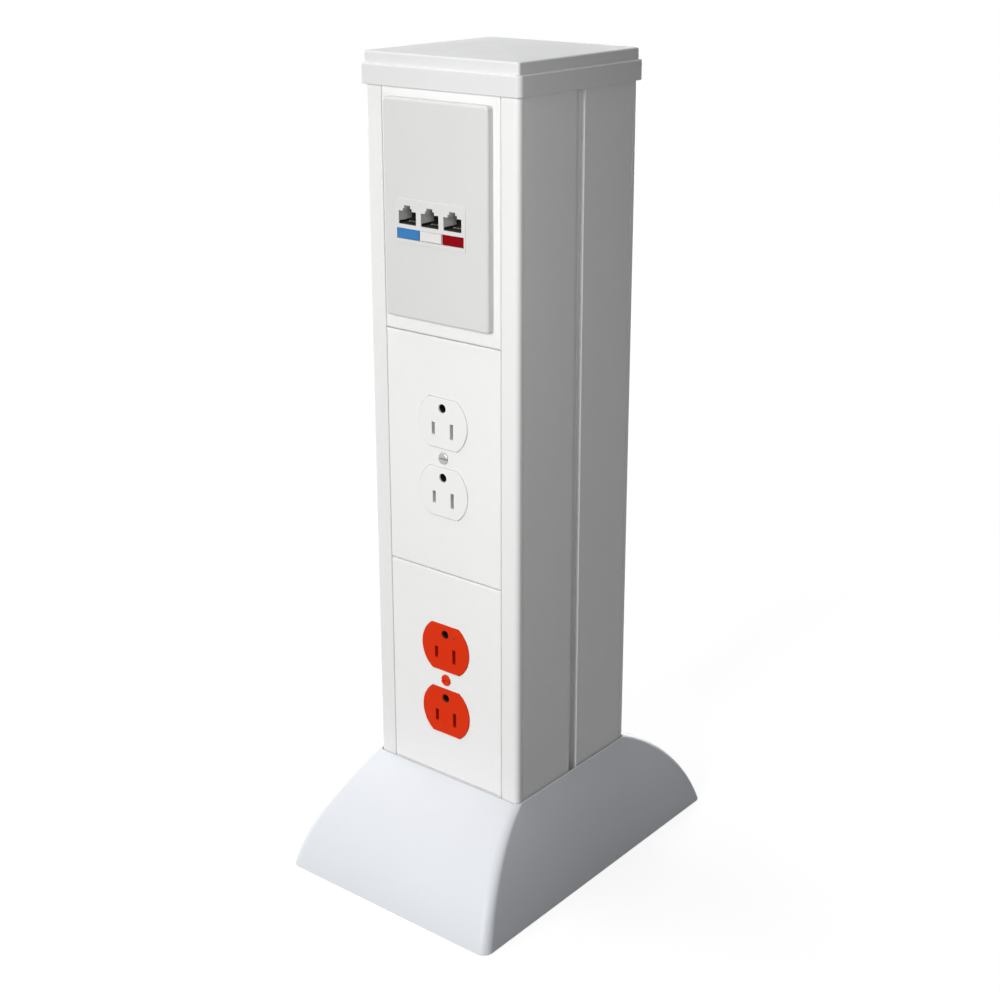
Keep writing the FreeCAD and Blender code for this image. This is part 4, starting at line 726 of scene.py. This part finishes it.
def moulded(
    name, colour, roughness, specular=0.5, grain=None, depth=None, drift=None, scuffs=0.25,
    dust=0.12,
):
    """Moulded plastic: fine grain, smudged gloss, a few hairline scratches and settled dust."""
    settings = bpy.context.scene.column_finish
    grain = settings.grain_size if grain is None else grain * MM
    depth = settings.grain_depth if depth is None else depth
    drift = settings.drift if drift is None else drift
    scratch_tint, scratch_depth, dust_matt = 0.3, 0.5, 0.35
    paint = Paint(name, Specular_IOR_Level=specular)
    base = tone(paint, Colour=colour, Amount=drift, Size=0.07)
    scratch = scuff(paint, Amount=scuffs, Size=0.03)
    settled = settled_dust(paint, Amount=dust, Size=0.012)
    sheen = gloss(paint, Roughness=roughness, Amount=0.05, Size=0.035)
    height = fine_grain(paint, Size=grain, Depth=1.0)
    worn = paint.mixed(paint.times(scratch, scratch_tint), base, SCRATCHED)
    paint.surface(
        Base_Color=paint.mixed(settled, worn, DUSTY),
        Roughness=paint.plus(sheen, paint.times(settled, dust_matt)),
    )
    cut = paint.times(scratch, scratch_depth)
    paint.bump(paint.math("SUBTRACT", height, cut), depth, GRAIN_BUMP)
    return paint.material


def powder_coat(name, colour):
    """Sprayed coat on an extrusion: soft grain over faint draw lines, with hairline scratches."""
    settings = bpy.context.scene.column_finish
    line_tint, scratch_tint, line_depth = 0.03, 0.35, 0.8
    paint = Paint(name, Specular_IOR_Level=0.5)
    line_height, line_mask = draw_lines(paint, Size=0.0035, Depth=1.0)
    base = tone(paint, Colour=colour, Amount=settings.drift, Size=0.09)
    scratch = scuff(paint, Amount=0.3, Size=0.04)
    sheen = gloss(paint, Roughness=0.38, Amount=0.05, Size=0.04)
    grain = fine_grain(paint, Size=0.0008, Depth=0.6)
    lined = paint.mixed(paint.times(line_mask, line_tint), base, COAT_LINE)
    worn = paint.mixed(paint.times(scratch, scratch_tint), lined, COAT_SCRATCH)
    paint.surface(Base_Color=worn, Roughness=sheen)
    relief = paint.plus(grain, paint.times(line_height, line_depth))
    paint.bump(relief, settings.grain_depth, GRAIN_BUMP)
    return paint.material


def metal(name, colour, roughness, stretch=(1, 1, 1), spangle=0.0, tint=(0.5, 0.5, 0.5)):
    """Bare or plated metal: brushed or rolled lines, a plating spangle and dull patches."""
    flakes_per_metre, brush_size, brush_matt, brush_depth = 220.0, 0.0006, 0.12, 0.25
    paint = Paint(name, Metallic=1.0)
    base = tone(paint, Colour=colour, Amount=0.05, Size=0.012)
    dull = scuff(paint, Amount=0.3, Size=0.012)
    sheen = gloss(paint, Roughness=roughness, Amount=0.08, Size=0.006)
    brushed = paint.noise(paint.place(scale=stretch), brush_size, detail=5.0, roughness=0.7)
    cells = paint.add("TexVoronoi", Vector=paint.place(), Scale=flakes_per_metre)
    flake = paint.span(cells.outputs["Color"], 0.0, 1.0, 0.0, spangle)
    shaded = paint.mixed(flake, base, tint)
    paint.surface(
        Base_Color=paint.mixed(dull, shaded, tint),
        Roughness=paint.plus(sheen, paint.times(brushed, brush_matt)),
    )
    paint.bump(brushed, brush_depth, BRUSH_BUMP)
    return paint.material


def painted_steel(name, colour, roughness=0.5, specular=0.5, wear=0.7):
    """Dyed or coated steel: an uneven coat that thins to metal in scratches."""
    bareness, grain_depth = 0.8, 0.2
    paint = Paint(name, Specular_IOR_Level=specular)
    base = tone(paint, Colour=colour, Amount=0.06, Size=0.02)
    scratch = scuff(paint, Amount=wear, Size=0.015)
    paint.surface(
        Base_Color=paint.mixed(scratch, base, BARE_STEEL),
        Metallic=paint.times(scratch, bareness),
        Roughness=gloss(paint, Roughness=roughness, Amount=0.08, Size=0.01),
    )
    paint.bump(fine_grain(paint, Size=0.0005, Depth=1.0), grain_depth, COAT_BUMP)
    return paint.material


def rubber(name, colour):
    """Black rubber: matt, finely pitted and a little dusty."""
    paint = Paint(name)
    base = tone(paint, Colour=colour, Amount=0.12, Size=0.01)
    settled = settled_dust(paint, Amount=0.3, Size=0.006)
    paint.surface(
        Base_Color=paint.mixed(settled, base, GREY_DUST),
        Roughness=gloss(paint, Roughness=0.75, Amount=0.08, Size=0.01),
    )
    paint.bump(fine_grain(paint, Size=0.0003, Depth=1.0), strength=0.35, distance=COAT_BUMP)
    return paint.material


def made(maker, name, colour, **values):
    """A row of the table of finishes; colour may be the setting that holds it."""
    return maker, name, colour, values


FINISH_OF = {
    "column_coat": made(powder_coat, "Column powder coat", "column"),
    "cover_shell": made(moulded, "Cover moulding", "cover", roughness=0.4),
    "skirt_shell": made(moulded, "Skirt moulding", "skirt", roughness=0.48, grain=0.8, dust=0.08),
    "cap_shell": made(moulded, "Cap moulding", "cap", roughness=0.45, grain=0.7, dust=0.2),
    "plate_steel": made(painted_steel, "Coated plate steel", (0.5, 0.51, 0.52)),
    "zinc_steel": made(
        metal, "Zinc-plated steel", (0.66, 0.67, 0.69),
        roughness=0.36, stretch=(1, 1, 6), spangle=0.25,
    ),
    "screw_steel": made(metal, "Screw steel", (0.45, 0.45, 0.44), roughness=0.3, spangle=0.08),
    "orange_screw": made(
        painted_steel, "Orange screw", "orange", roughness=0.35, specular=0.12, wear=0.2
    ),
    "green_steel": made(painted_steel, "Green screw", (0.05, 0.3, 0.09), roughness=0.35),
    "nickel": made(
        metal, "Nickel plate", (0.74, 0.73, 0.7), roughness=0.22, stretch=(1, 4, 1), spangle=0.05
    ),
    "brass": made(
        metal, "Rolled brass", (0.78, 0.58, 0.28),
        roughness=0.3, stretch=(6, 1, 1), spangle=0.05, tint=(0.35, 0.24, 0.1),
    ),
    "gold_wire": made(
        metal, "Gold-plated springs", (0.42, 0.36, 0.24), roughness=0.34, stretch=(1, 6, 1)
    ),
    "bushing_rubber": made(rubber, "Bushing rubber", (0.035, 0.035, 0.035)),
    "carrier_plastic": made(moulded, "Carrier moulding", (0.76, 0.76, 0.74), roughness=0.5),
    "plate_plastic": made(
        moulded, "Wall plate moulding", "plate", roughness=0.36, grain=0.5, depth=0.1
    ),
    "frame_plastic": made(
        moulded, "Port frame moulding", (0.675, 0.675, 0.665), roughness=0.34, depth=0.08
    ),
    "white_nylon": made(moulded, "White nylon", "white", roughness=0.33, depth=0.06),
    "orange_nylon": made(
        moulded, "Orange nylon", "orange",
        roughness=0.36, specular=0.1, depth=0.06, scuffs=0.05, dust=0.02, drift=0.04,
    ),
    # a black thermoset finish; the ground hole liners and the port combs' trays and back sheets use
    # it as painted shade
    "black_nylon": made(
        moulded, "Black thermoset", (0.012, 0.012, 0.012),
        roughness=0.5, specular=0.2, scuffs=0.05, dust=0.03, drift=0.08,
    ),
    "jack_plastic": made(moulded, "Jack moulding", "jack", roughness=0.4, depth=0.08, drift=0.05),
    "tab_blue": made(
        moulded, "Blue tab", "blue",
        roughness=0.32, specular=0.15, depth=0.06, scuffs=0.1, drift=0.03,
    ),
    "tab_white": made(moulded, "White tab", (0.715, 0.71, 0.705), roughness=0.32, depth=0.06),
    "tab_red": made(
        moulded, "Red tab", "red",
        roughness=0.32, specular=0.06, depth=0.06, scuffs=0.02, dust=0.02, drift=0.03,
    ),
    "mark_ink": made(
        moulded, "Mark ink", (0.05, 0.012, 0.006), roughness=0.5, depth=0.05, scuffs=0.0
    ),
}
FINISHES = {}


def finish_of(slot):
    """The material of a slot, made when it is first asked for."""
    if slot not in FINISHES:
        maker, name, colour, values = FINISH_OF[slot]
        if isinstance(colour, str):
            colour = getattr(bpy.context.scene.column_finish, colour)
        FINISHES[slot] = maker(name, colour, **values)
    return FINISHES[slot]


def dress_nodes(chosen):
    """Give the finish of its slot to each CAD node that a test chooses."""
    names = [name for name in frame["nodes"] if chosen(name)]
    if not names:
        raise RuntimeError("no node was dressed")
    for name in names:
        materials = frame["nodes"][name].data.materials
        materials.clear()
        materials.append(finish_of(SLOT_OF[name]))


def fit(piece, body, slot, *nodes):
    """Give a new piece the finish of its slot and its body, and hide the CAD nodes that it stands
    for.
    """
    piece.data.materials.append(finish_of(slot))
    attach(piece, body)
    if nodes:
        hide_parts(*nodes)


# Operators


class Maker:
    """What the operators have in common."""

    bl_options = {"REGISTER", "UNDO"}


class SetStage(Maker, bpy.types.Operator):
    """Set up the floor, the lamps and the camera"""

    bl_idname = "power_column.set_stage"
    bl_label = "Stage"

    def execute(self, context):
        scene = context.scene
        settings = scene.column_stage
        self.make_floor(settings)
        self.make_world(scene, settings)
        for name, (spot, size) in LAMPS.items():
            self.make_lamp(scene, f"{name.title()} lamp", spot, size, getattr(settings, name))
        self.make_camera(scene)
        scene.view_settings.view_transform = "Standard"
        return {"FINISHED"}

    def make_floor(self, settings):
        """A round floor whose rings widen outwards, to 40 m, a hair under the object's foot."""
        sectors, sink = 48, 0.05
        hub, nearest, farthest, rings = 0.05, 0.2, 40.0, 12
        reach = np.concatenate(([hub], np.geomspace(nearest, farthest, rings))) / MM
        across, along = turned(reach, sectors)
        points = np.stack((across, along, np.full_like(across, -sink)), axis=2).reshape(-1, 3)
        ring = np.arange(sectors)
        middle = fan(len(points), ring, (ring + 1) % sectors)
        faces = grid_faces(len(reach), sectors)[:, ::-1]
        floor = build_piece("floor", np.concatenate((points, [(0, 0, -sink)])), faces, [middle])
        floor.data.materials.append(self.floor_paint(settings))
        floor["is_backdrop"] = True

    def floor_paint(self, settings):
        """A matt floor, lifted for the camera alone; far out it turns into the white backdrop."""
        near, far = 0.5, 2.2
        paint = Paint("Floor", Roughness=0.9, Specular_IOR_Level=0.0)
        paint.surface(Base_Color=tone(paint, Colour=settings.floor, Amount=0.004, Size=0.4))
        distance = paint.add("VectorMath", paint.place(), operation="LENGTH").outputs["Value"]
        backdrop = paint.span(distance, near, far)
        direct = paint.seen_directly()
        lift = paint.add("Emission", Color=WHITE, Strength=paint.times(direct, settings.lift))
        lifted = paint.add("AddShader", paint.shader.outputs[0], lift.outputs[0])
        white = paint.add("Emission", Color=WHITE, Strength=1.0)
        share = paint.times(direct, backdrop)
        mix = paint.add("MixShader", share, lifted.outputs[0], white.outputs[0])
        paint.feed(paint.tree.nodes["Material Output"].inputs["Surface"], mix.outputs[0])
        return paint.material

    def make_world(self, scene, settings):
        """Even surroundings that the camera and reflections see as white."""
        scene.world = bpy.data.worlds.new("Studio")
        scene.world.use_nodes = True
        tree = Wiring(scene.world.node_tree)
        background = tree.tree.nodes["Background"]
        tree.feed(background.inputs["Color"], SKY)
        strength = tree.span(tree.seen_directly(), 0.0, 1.0, settings.ambient, 1.0)
        tree.feed(background.inputs["Strength"], strength)

    def make_lamp(self, scene, name, spot, size, power):
        """A soft rectangular lamp that looks at the middle of the column."""
        data = bpy.data.lights.new(name, "AREA")
        data.shape = "RECTANGLE"
        data.size, data.size_y = size
        data.energy = power
        item = bpy.data.objects.new(name, data)
        scene.collection.objects.link(item)
        item.location = spot
        item.rotation_euler = (LAMP_AIM - Vector(spot)).to_track_quat("-Z", "Y").to_euler()

    def make_camera(self, scene):
        """The camera at the photograph's place, angle and framing."""
        data = bpy.data.cameras.new("Camera")
        for name, value in {**CAMERA_LENS, **CAMERA_REACH}.items():
            setattr(data, name, value)
        camera = bpy.data.objects.new("Camera", data)
        scene.collection.objects.link(camera)
        turn = Matrix(CAMERA_AXES).transposed().to_4x4()
        camera.matrix_world = Matrix.Translation(CAMERA_SPOT) @ turn
        scene.camera = camera


class DressColumn(Maker, bpy.types.Operator):
    """Finish the extrusion, its plate, brackets and fasteners"""

    bl_idname = "power_column.dress_column"
    bl_label = "Column and Base Plate"

    def execute(self, context):
        starts = "column_ base_plate foot_ web_ barrier_ cable_ bracket_ carrier_screws"
        dress_nodes(lambda name: name.startswith(tuple(starts.split())))
        return {"FINISHED"}


class DressCovers(Maker, bpy.types.Operator):
    """Finish the covers, the bezel, the carrier ring and the solids of the skirt and the cap"""

    bl_idname = "power_column.dress_covers"
    bl_label = "Covers"

    def execute(self, context):
        others = ("data_bezel", "carrier_ring", "base_skirt", "top_cap")
        dress_nodes(lambda name: "cover" in name or name in others)
        return {"FINISHED"}


class DressOutlets(Maker, bpy.types.Operator):
    """Finish the two duplex outlets with their brackets, contacts and screws"""

    bl_idname = "power_column.dress_outlets"
    bl_label = "Outlets"

    def execute(self, context):
        words = ("_outlet_", "_contact", "terminal_screws", "strap_screws", "_bracket")

        def chosen(name):
            """Whether a node belongs to an outlet; the brackets at the foot don't."""
            return any(word in name for word in words) and not name.startswith("foot_")

        dress_nodes(chosen)
        return {"FINISHED"}


class DressDataPlate(Maker, bpy.types.Operator):
    """Finish the data plate, port frame, jacks and marker tabs"""

    bl_idname = "power_column.dress_data_plate"
    bl_label = "Data Plate"

    def execute(self, context):
        plate = ("data_plate", "port_frame")
        dress_nodes(lambda name: name in plate or "_jack_" in name or name.endswith("_tab"))
        return {"FINISHED"}


class MakeSkirt(Maker, bpy.types.Operator):
    """Make the flared moulded skirt at the foot"""

    bl_idname = "power_column.make_skirt"
    bl_label = "Base Skirt"

    def execute(self, context):
        piece = build_piece("skirt_moulding", *skirt_points(context.scene.column_skirt))
        fit(piece, "skirt", "skirt_shell", "base_skirt")
        return {"FINISHED"}


class MakeCap(Maker, bpy.types.Operator):
    """Make the stepped, domed cap and the blades that locate it"""

    bl_idname = "power_column.make_cap"
    bl_label = "Top Cap"

    def execute(self, context):
        settings = context.scene.column_cap
        fit(build_piece("cap_moulding", *cap_points(settings)), "cap", "cap_shell", "top_cap")
        thick, wide, along, gap, dome, wall, column_wall = in_mm(
            settings, "blade blade_width blade_spread gap dome wall column_wall"
        )
        across = COLUMN_HALF - column_wall - gap - thick / 2
        # a blade's top ends inside the cap's wall, under the lowest point of the dome above it
        top = CAP_HIGH[2] - (across**2 + (along + wide / 2) ** 2) / (2 * dome) - wall / 2
        low = CAP_LOW[2]
        centres = [(side * across, end * along, (top + low) / 2) for side in ENDS for end in ENDS]
        blades = plates(centres, (thick / 2, wide / 2, (top - low) / 2), radius=2.5, edge=0.4)
        fit(build_piece("cap_blades", *blades), "cap", "cap_shell", "top_cap")
        return {"FINISHED"}


class MakeSills(Maker, bpy.types.Operator):
    """Make the strips that close the column's openings under the covers, behind the skirt"""

    bl_idname = "power_column.make_sills"
    bl_label = "Sills"

    def execute(self, context):
        width, height, thick, joint = in_mm(context.scene.column_sills, "width height thick joint")
        top = limits("lower_cover")[0][2] - joint
        # the outer face stands a hair behind the column's, clear of the skirt's throat
        setback = 0.05 + thick / 2
        spots = [(0, end * (COLUMN_HALF - setback), top - height / 2) for end in ENDS]
        sizes = (thick / 2, height / 2, width / 2)
        strips = plates(spots, sizes, radius=0.3, edge=0.1, thin_axis=1)
        fit(build_piece("column_sills", *strips), "root", "column_coat")
        return {"FINISHED"}


class MakeSprings(Maker, bpy.types.Operator):
    """Make the eight bent contact springs in each data port"""

    bl_idname = "power_column.make_springs"
    bl_label = "Port Springs"

    def execute(self, context):
        radius, pitch, bend, arm = in_mm(context.scene.column_ports, "spring pitch bend arm")
        for port in PORTS:
            node = f"{port}_jack_wires"
            low, high = limits(node)
            wire = along_path(self.spring_path(low, high, radius, bend, arm), radius)
            offsets = spread(8, pitch, (low[0] + high[0]) / 2)
            places = np.stack((offsets, offsets * 0, offsets * 0), axis=1)
            piece = build_piece(f"{port}_springs", *repeated(*wire, places))
            fit(piece, "data_plate_unit", "gold_wire", node)
        return {"FINISHED"}

    @staticmethod
    def spring_path(low, high, radius, bend, arm, steps=8):
        """Along the port's floor to the front, round a half turn and back up to a free tip."""
        floor = low[2] + radius
        front = low[1] + bend + radius
        tip = np.array((low[1] + arm, high[2] - radius))
        run = np.stack((np.linspace(high[1], front, steps), np.full(steps, floor)), axis=1)
        rise = math.atan2(tip[1] - floor - 2 * bend, tip[0] - front)
        angle = np.linspace(-QUARTER, -3 * QUARTER + rise, steps + 1)[1:]
        centre = np.array((front, floor + bend))
        turn = centre + bend * np.stack((np.cos(angle), np.sin(angle)), axis=1)
        share = np.linspace(0, 1, steps + 1)[1:, None]
        return np.concatenate((run, turn, turn[-1] + (tip - turn[-1]) * share))


class MakeCombsAndPortShade(Maker, bpy.types.Operator):
    """Make the comb of teeth that holds each port's springs, on a black tray that is partly painted
    shade, with a black back sheet that is painted shade deep in the port
    """

    bl_idname = "power_column.make_combs"
    bl_label = "Port Combs"

    def execute(self, context):
        width, front, depth, back, rise, curb, sheet, pitch = in_mm(
            context.scene.column_ports, "width front depth back rise curb sheet pitch"
        )
        face = limits("port_frame")[0][1]
        corner, edge, tooth_corner = 0.2, 0.08, 0.3
        tooth, shade_sheet, back_inset = pitch * 0.21, 0.3, 0.4
        # the tray lies a hair above the port's floor and inside its walls
        lift, clearance = 0.04, 0.06
        half = width / 2 - clearance
        long, run = (back - front) / 2, (back - depth) / 2
        centre = face + (back + front) / 2
        thick = sheet / 2
        for port in PORTS:
            low, high = limits(f"{port}_jack_wires")
            middle, floor = (low[0] + high[0]) / 2, low[2] + lift
            walls = [(middle + end * (half - thick), centre, floor + curb / 2) for end in ENDS]
            # the black tray is partly the base of the comb and partly painted shade on the port's
            # floor
            tray = [(middle, centre, floor + thick)]
            teeth = [(x, face + depth + run, floor + rise / 2) for x in spread(11, pitch, middle)]
            # the black sheet at the back of each port is painted shade, the dark of the port's deep
            # end
            behind = [(middle, face + back - back_inset, floor + rise / 2)]
            forms = (
                plates(tray, (thick, half, long), corner, edge, thin_axis=2),
                plates(walls, (thick, long, curb / 2), corner, edge),
                plates(teeth, (tooth, run, rise / 2), tooth_corner, edge),
                plates(behind, (shade_sheet, rise / 2, half), corner, edge, thin_axis=1),
            )
            fit(build_piece(f"{port}_comb", *joined(*forms)), "data_plate_unit", "black_nylon")
        return {"FINISHED"}


class MakeShadeLiners(Maker, bpy.types.Operator):
    """Make dark liners in the four ground holes, black cups that are painted shade deep in the
    holes
    """

    bl_idname = "power_column.make_liners"
    bl_label = "Ground Liners"

    def execute(self, context):
        spacing, rise, hole, wall, setback = in_mm(
            context.scene.column_outlets, "spacing rise hole liner setback"
        )
        clearance, hub, sunk, sides = 0.04, 0.5, 0.1, 40
        places = []
        for colour in ("orange", "white"):
            low, high = limits(f"{colour}_outlet_face")
            middle = (low + high) / 2
            levels = [middle[2] + end * spacing / 2 + rise for end in ENDS]
            places += [(middle[0], low[1] + setback, level) for level in levels]
        depth = high[1] - low[1] - setback - sunk
        outside = hole - clearance
        inside, rim = outside - wall, wall / 2
        # a cup turned about its axis: from the middle of its floor along the inside to the mouth,
        # and back along the outside
        radius = (hub, inside, inside, outside - rim, outside, outside, hub)
        level = np.array((depth - wall, depth - wall, rim, 0.0, rim, depth, depth))
        across, up = turned(radius, sides)
        cup = shell(across, flat_rows(level, across), up)
        # the black cups are painted shade: they darken the ground holes, where only shade falls
        piece = build_piece("ground_liners", *repeated(*cup, places), smooth_angle=40)
        fit(piece, "root", "black_nylon")
        return {"FINISHED"}


class MakeMarks(Maker, bpy.types.Operator):
    """Make the small triangle on the orange outlet"""

    bl_idname = "power_column.make_marks"
    bl_label = "Triangle Mark"

    def execute(self, context):
        side, out, rise = in_mm(context.scene.column_outlets, "mark mark_across mark_up")
        low, high = limits("orange_outlet_face")
        centre = np.array(((low[0] + high[0]) / 2 + out, low[1], (low[2] + high[2]) / 2 + rise))
        # of a side of one: from the middle to a side, and to a softened corner
        inradius, corner = 0.2887, 0.52
        height, root = 0.12, -0.1
        sixth, third = ROUND / 6, ROUND / 3
        angle = np.linspace(0, ROUND, 36, endpoint=False)
        # a triangle with soft corners: its radius is the straight side's, eased near the corners
        wedge = np.abs((angle - QUARTER) % third - sixth)
        reach = np.minimum(inradius / np.cos(sixth - np.abs(sixth - wedge)), corner) * side
        scale = np.array((0.3, 0.9, 0.97, 1.0, 1.0))[:, None] * reach
        level = np.array((height, height, height * 0.8, 0, root))
        across = centre[0] + scale * np.cos(angle)
        up = centre[2] + scale * np.sin(angle)
        piece = build_piece("ground_mark", *shell(across, centre[1] - flat_rows(level, across), up))
        piece.data.materials.append(finish_of("mark_ink"))
        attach(piece, "root")
        return {"FINISHED"}


class PowerColumnPanel(bpy.types.Panel):
    """Buttons and settings in the 3D view's sidebar"""

    bl_idname = "VIEW3D_PT_power_column"
    bl_label = "Power Column"
    bl_space_type = "VIEW_3D"
    bl_region_type = "UI"
    bl_category = "Power Column"

    def draw(self, context):
        for operator in OPERATORS:
            self.layout.operator(operator.bl_idname)
        for name, kind in SETTINGS.items():
            box = self.layout.box()
            box.label(text=kind.__doc__)
            for prop in kind.__annotations__:
                box.prop(getattr(context.scene, name), prop)


SETTINGS = {
    "column_skirt": SkirtSettings,
    "column_cap": CapSettings,
    "column_sills": SillSettings,
    "column_outlets": OutletSettings,
    "column_ports": PortSettings,
    "column_finish": FinishSettings,
    "column_stage": StageSettings,
}
OPERATORS = (
    SetStage,
    DressColumn,
    DressCovers,
    DressOutlets,
    DressDataPlate,
    MakeSkirt,
    MakeCap,
    MakeSills,
    MakeSprings,
    MakeCombsAndPortShade,
    MakeShadeLiners,
    MakeMarks,
)


def register():
    """Make the settings, operators and panel known to Blender."""
    for name, kind in SETTINGS.items():
        bpy.utils.register_class(kind)
        setattr(bpy.types.Scene, name, PointerProperty(type=kind))
    for kind in (*OPERATORS, PowerColumnPanel):
        bpy.utils.register_class(kind)


def unregister():
    """Take them out again."""
    for kind in reversed((*OPERATORS, PowerColumnPanel)):
        bpy.utils.unregister_class(kind)
    for name, kind in reversed(SETTINGS.items()):
        delattr(bpy.types.Scene, name)
        bpy.utils.unregister_class(kind)


def main():
    """Register, make every piece in turn and work out the two boxes."""
    register()
    for operator in OPERATORS:
        family, name = operator.bl_idname.split(".")
        getattr(getattr(bpy.ops, family), name)()
    boxes = {"cad": CAD_BOX, "visual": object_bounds()}
    boxes = {name: [list(corner) for corner in box] for name, box in boxes.items()}


if __name__ == "__main__":
    main()
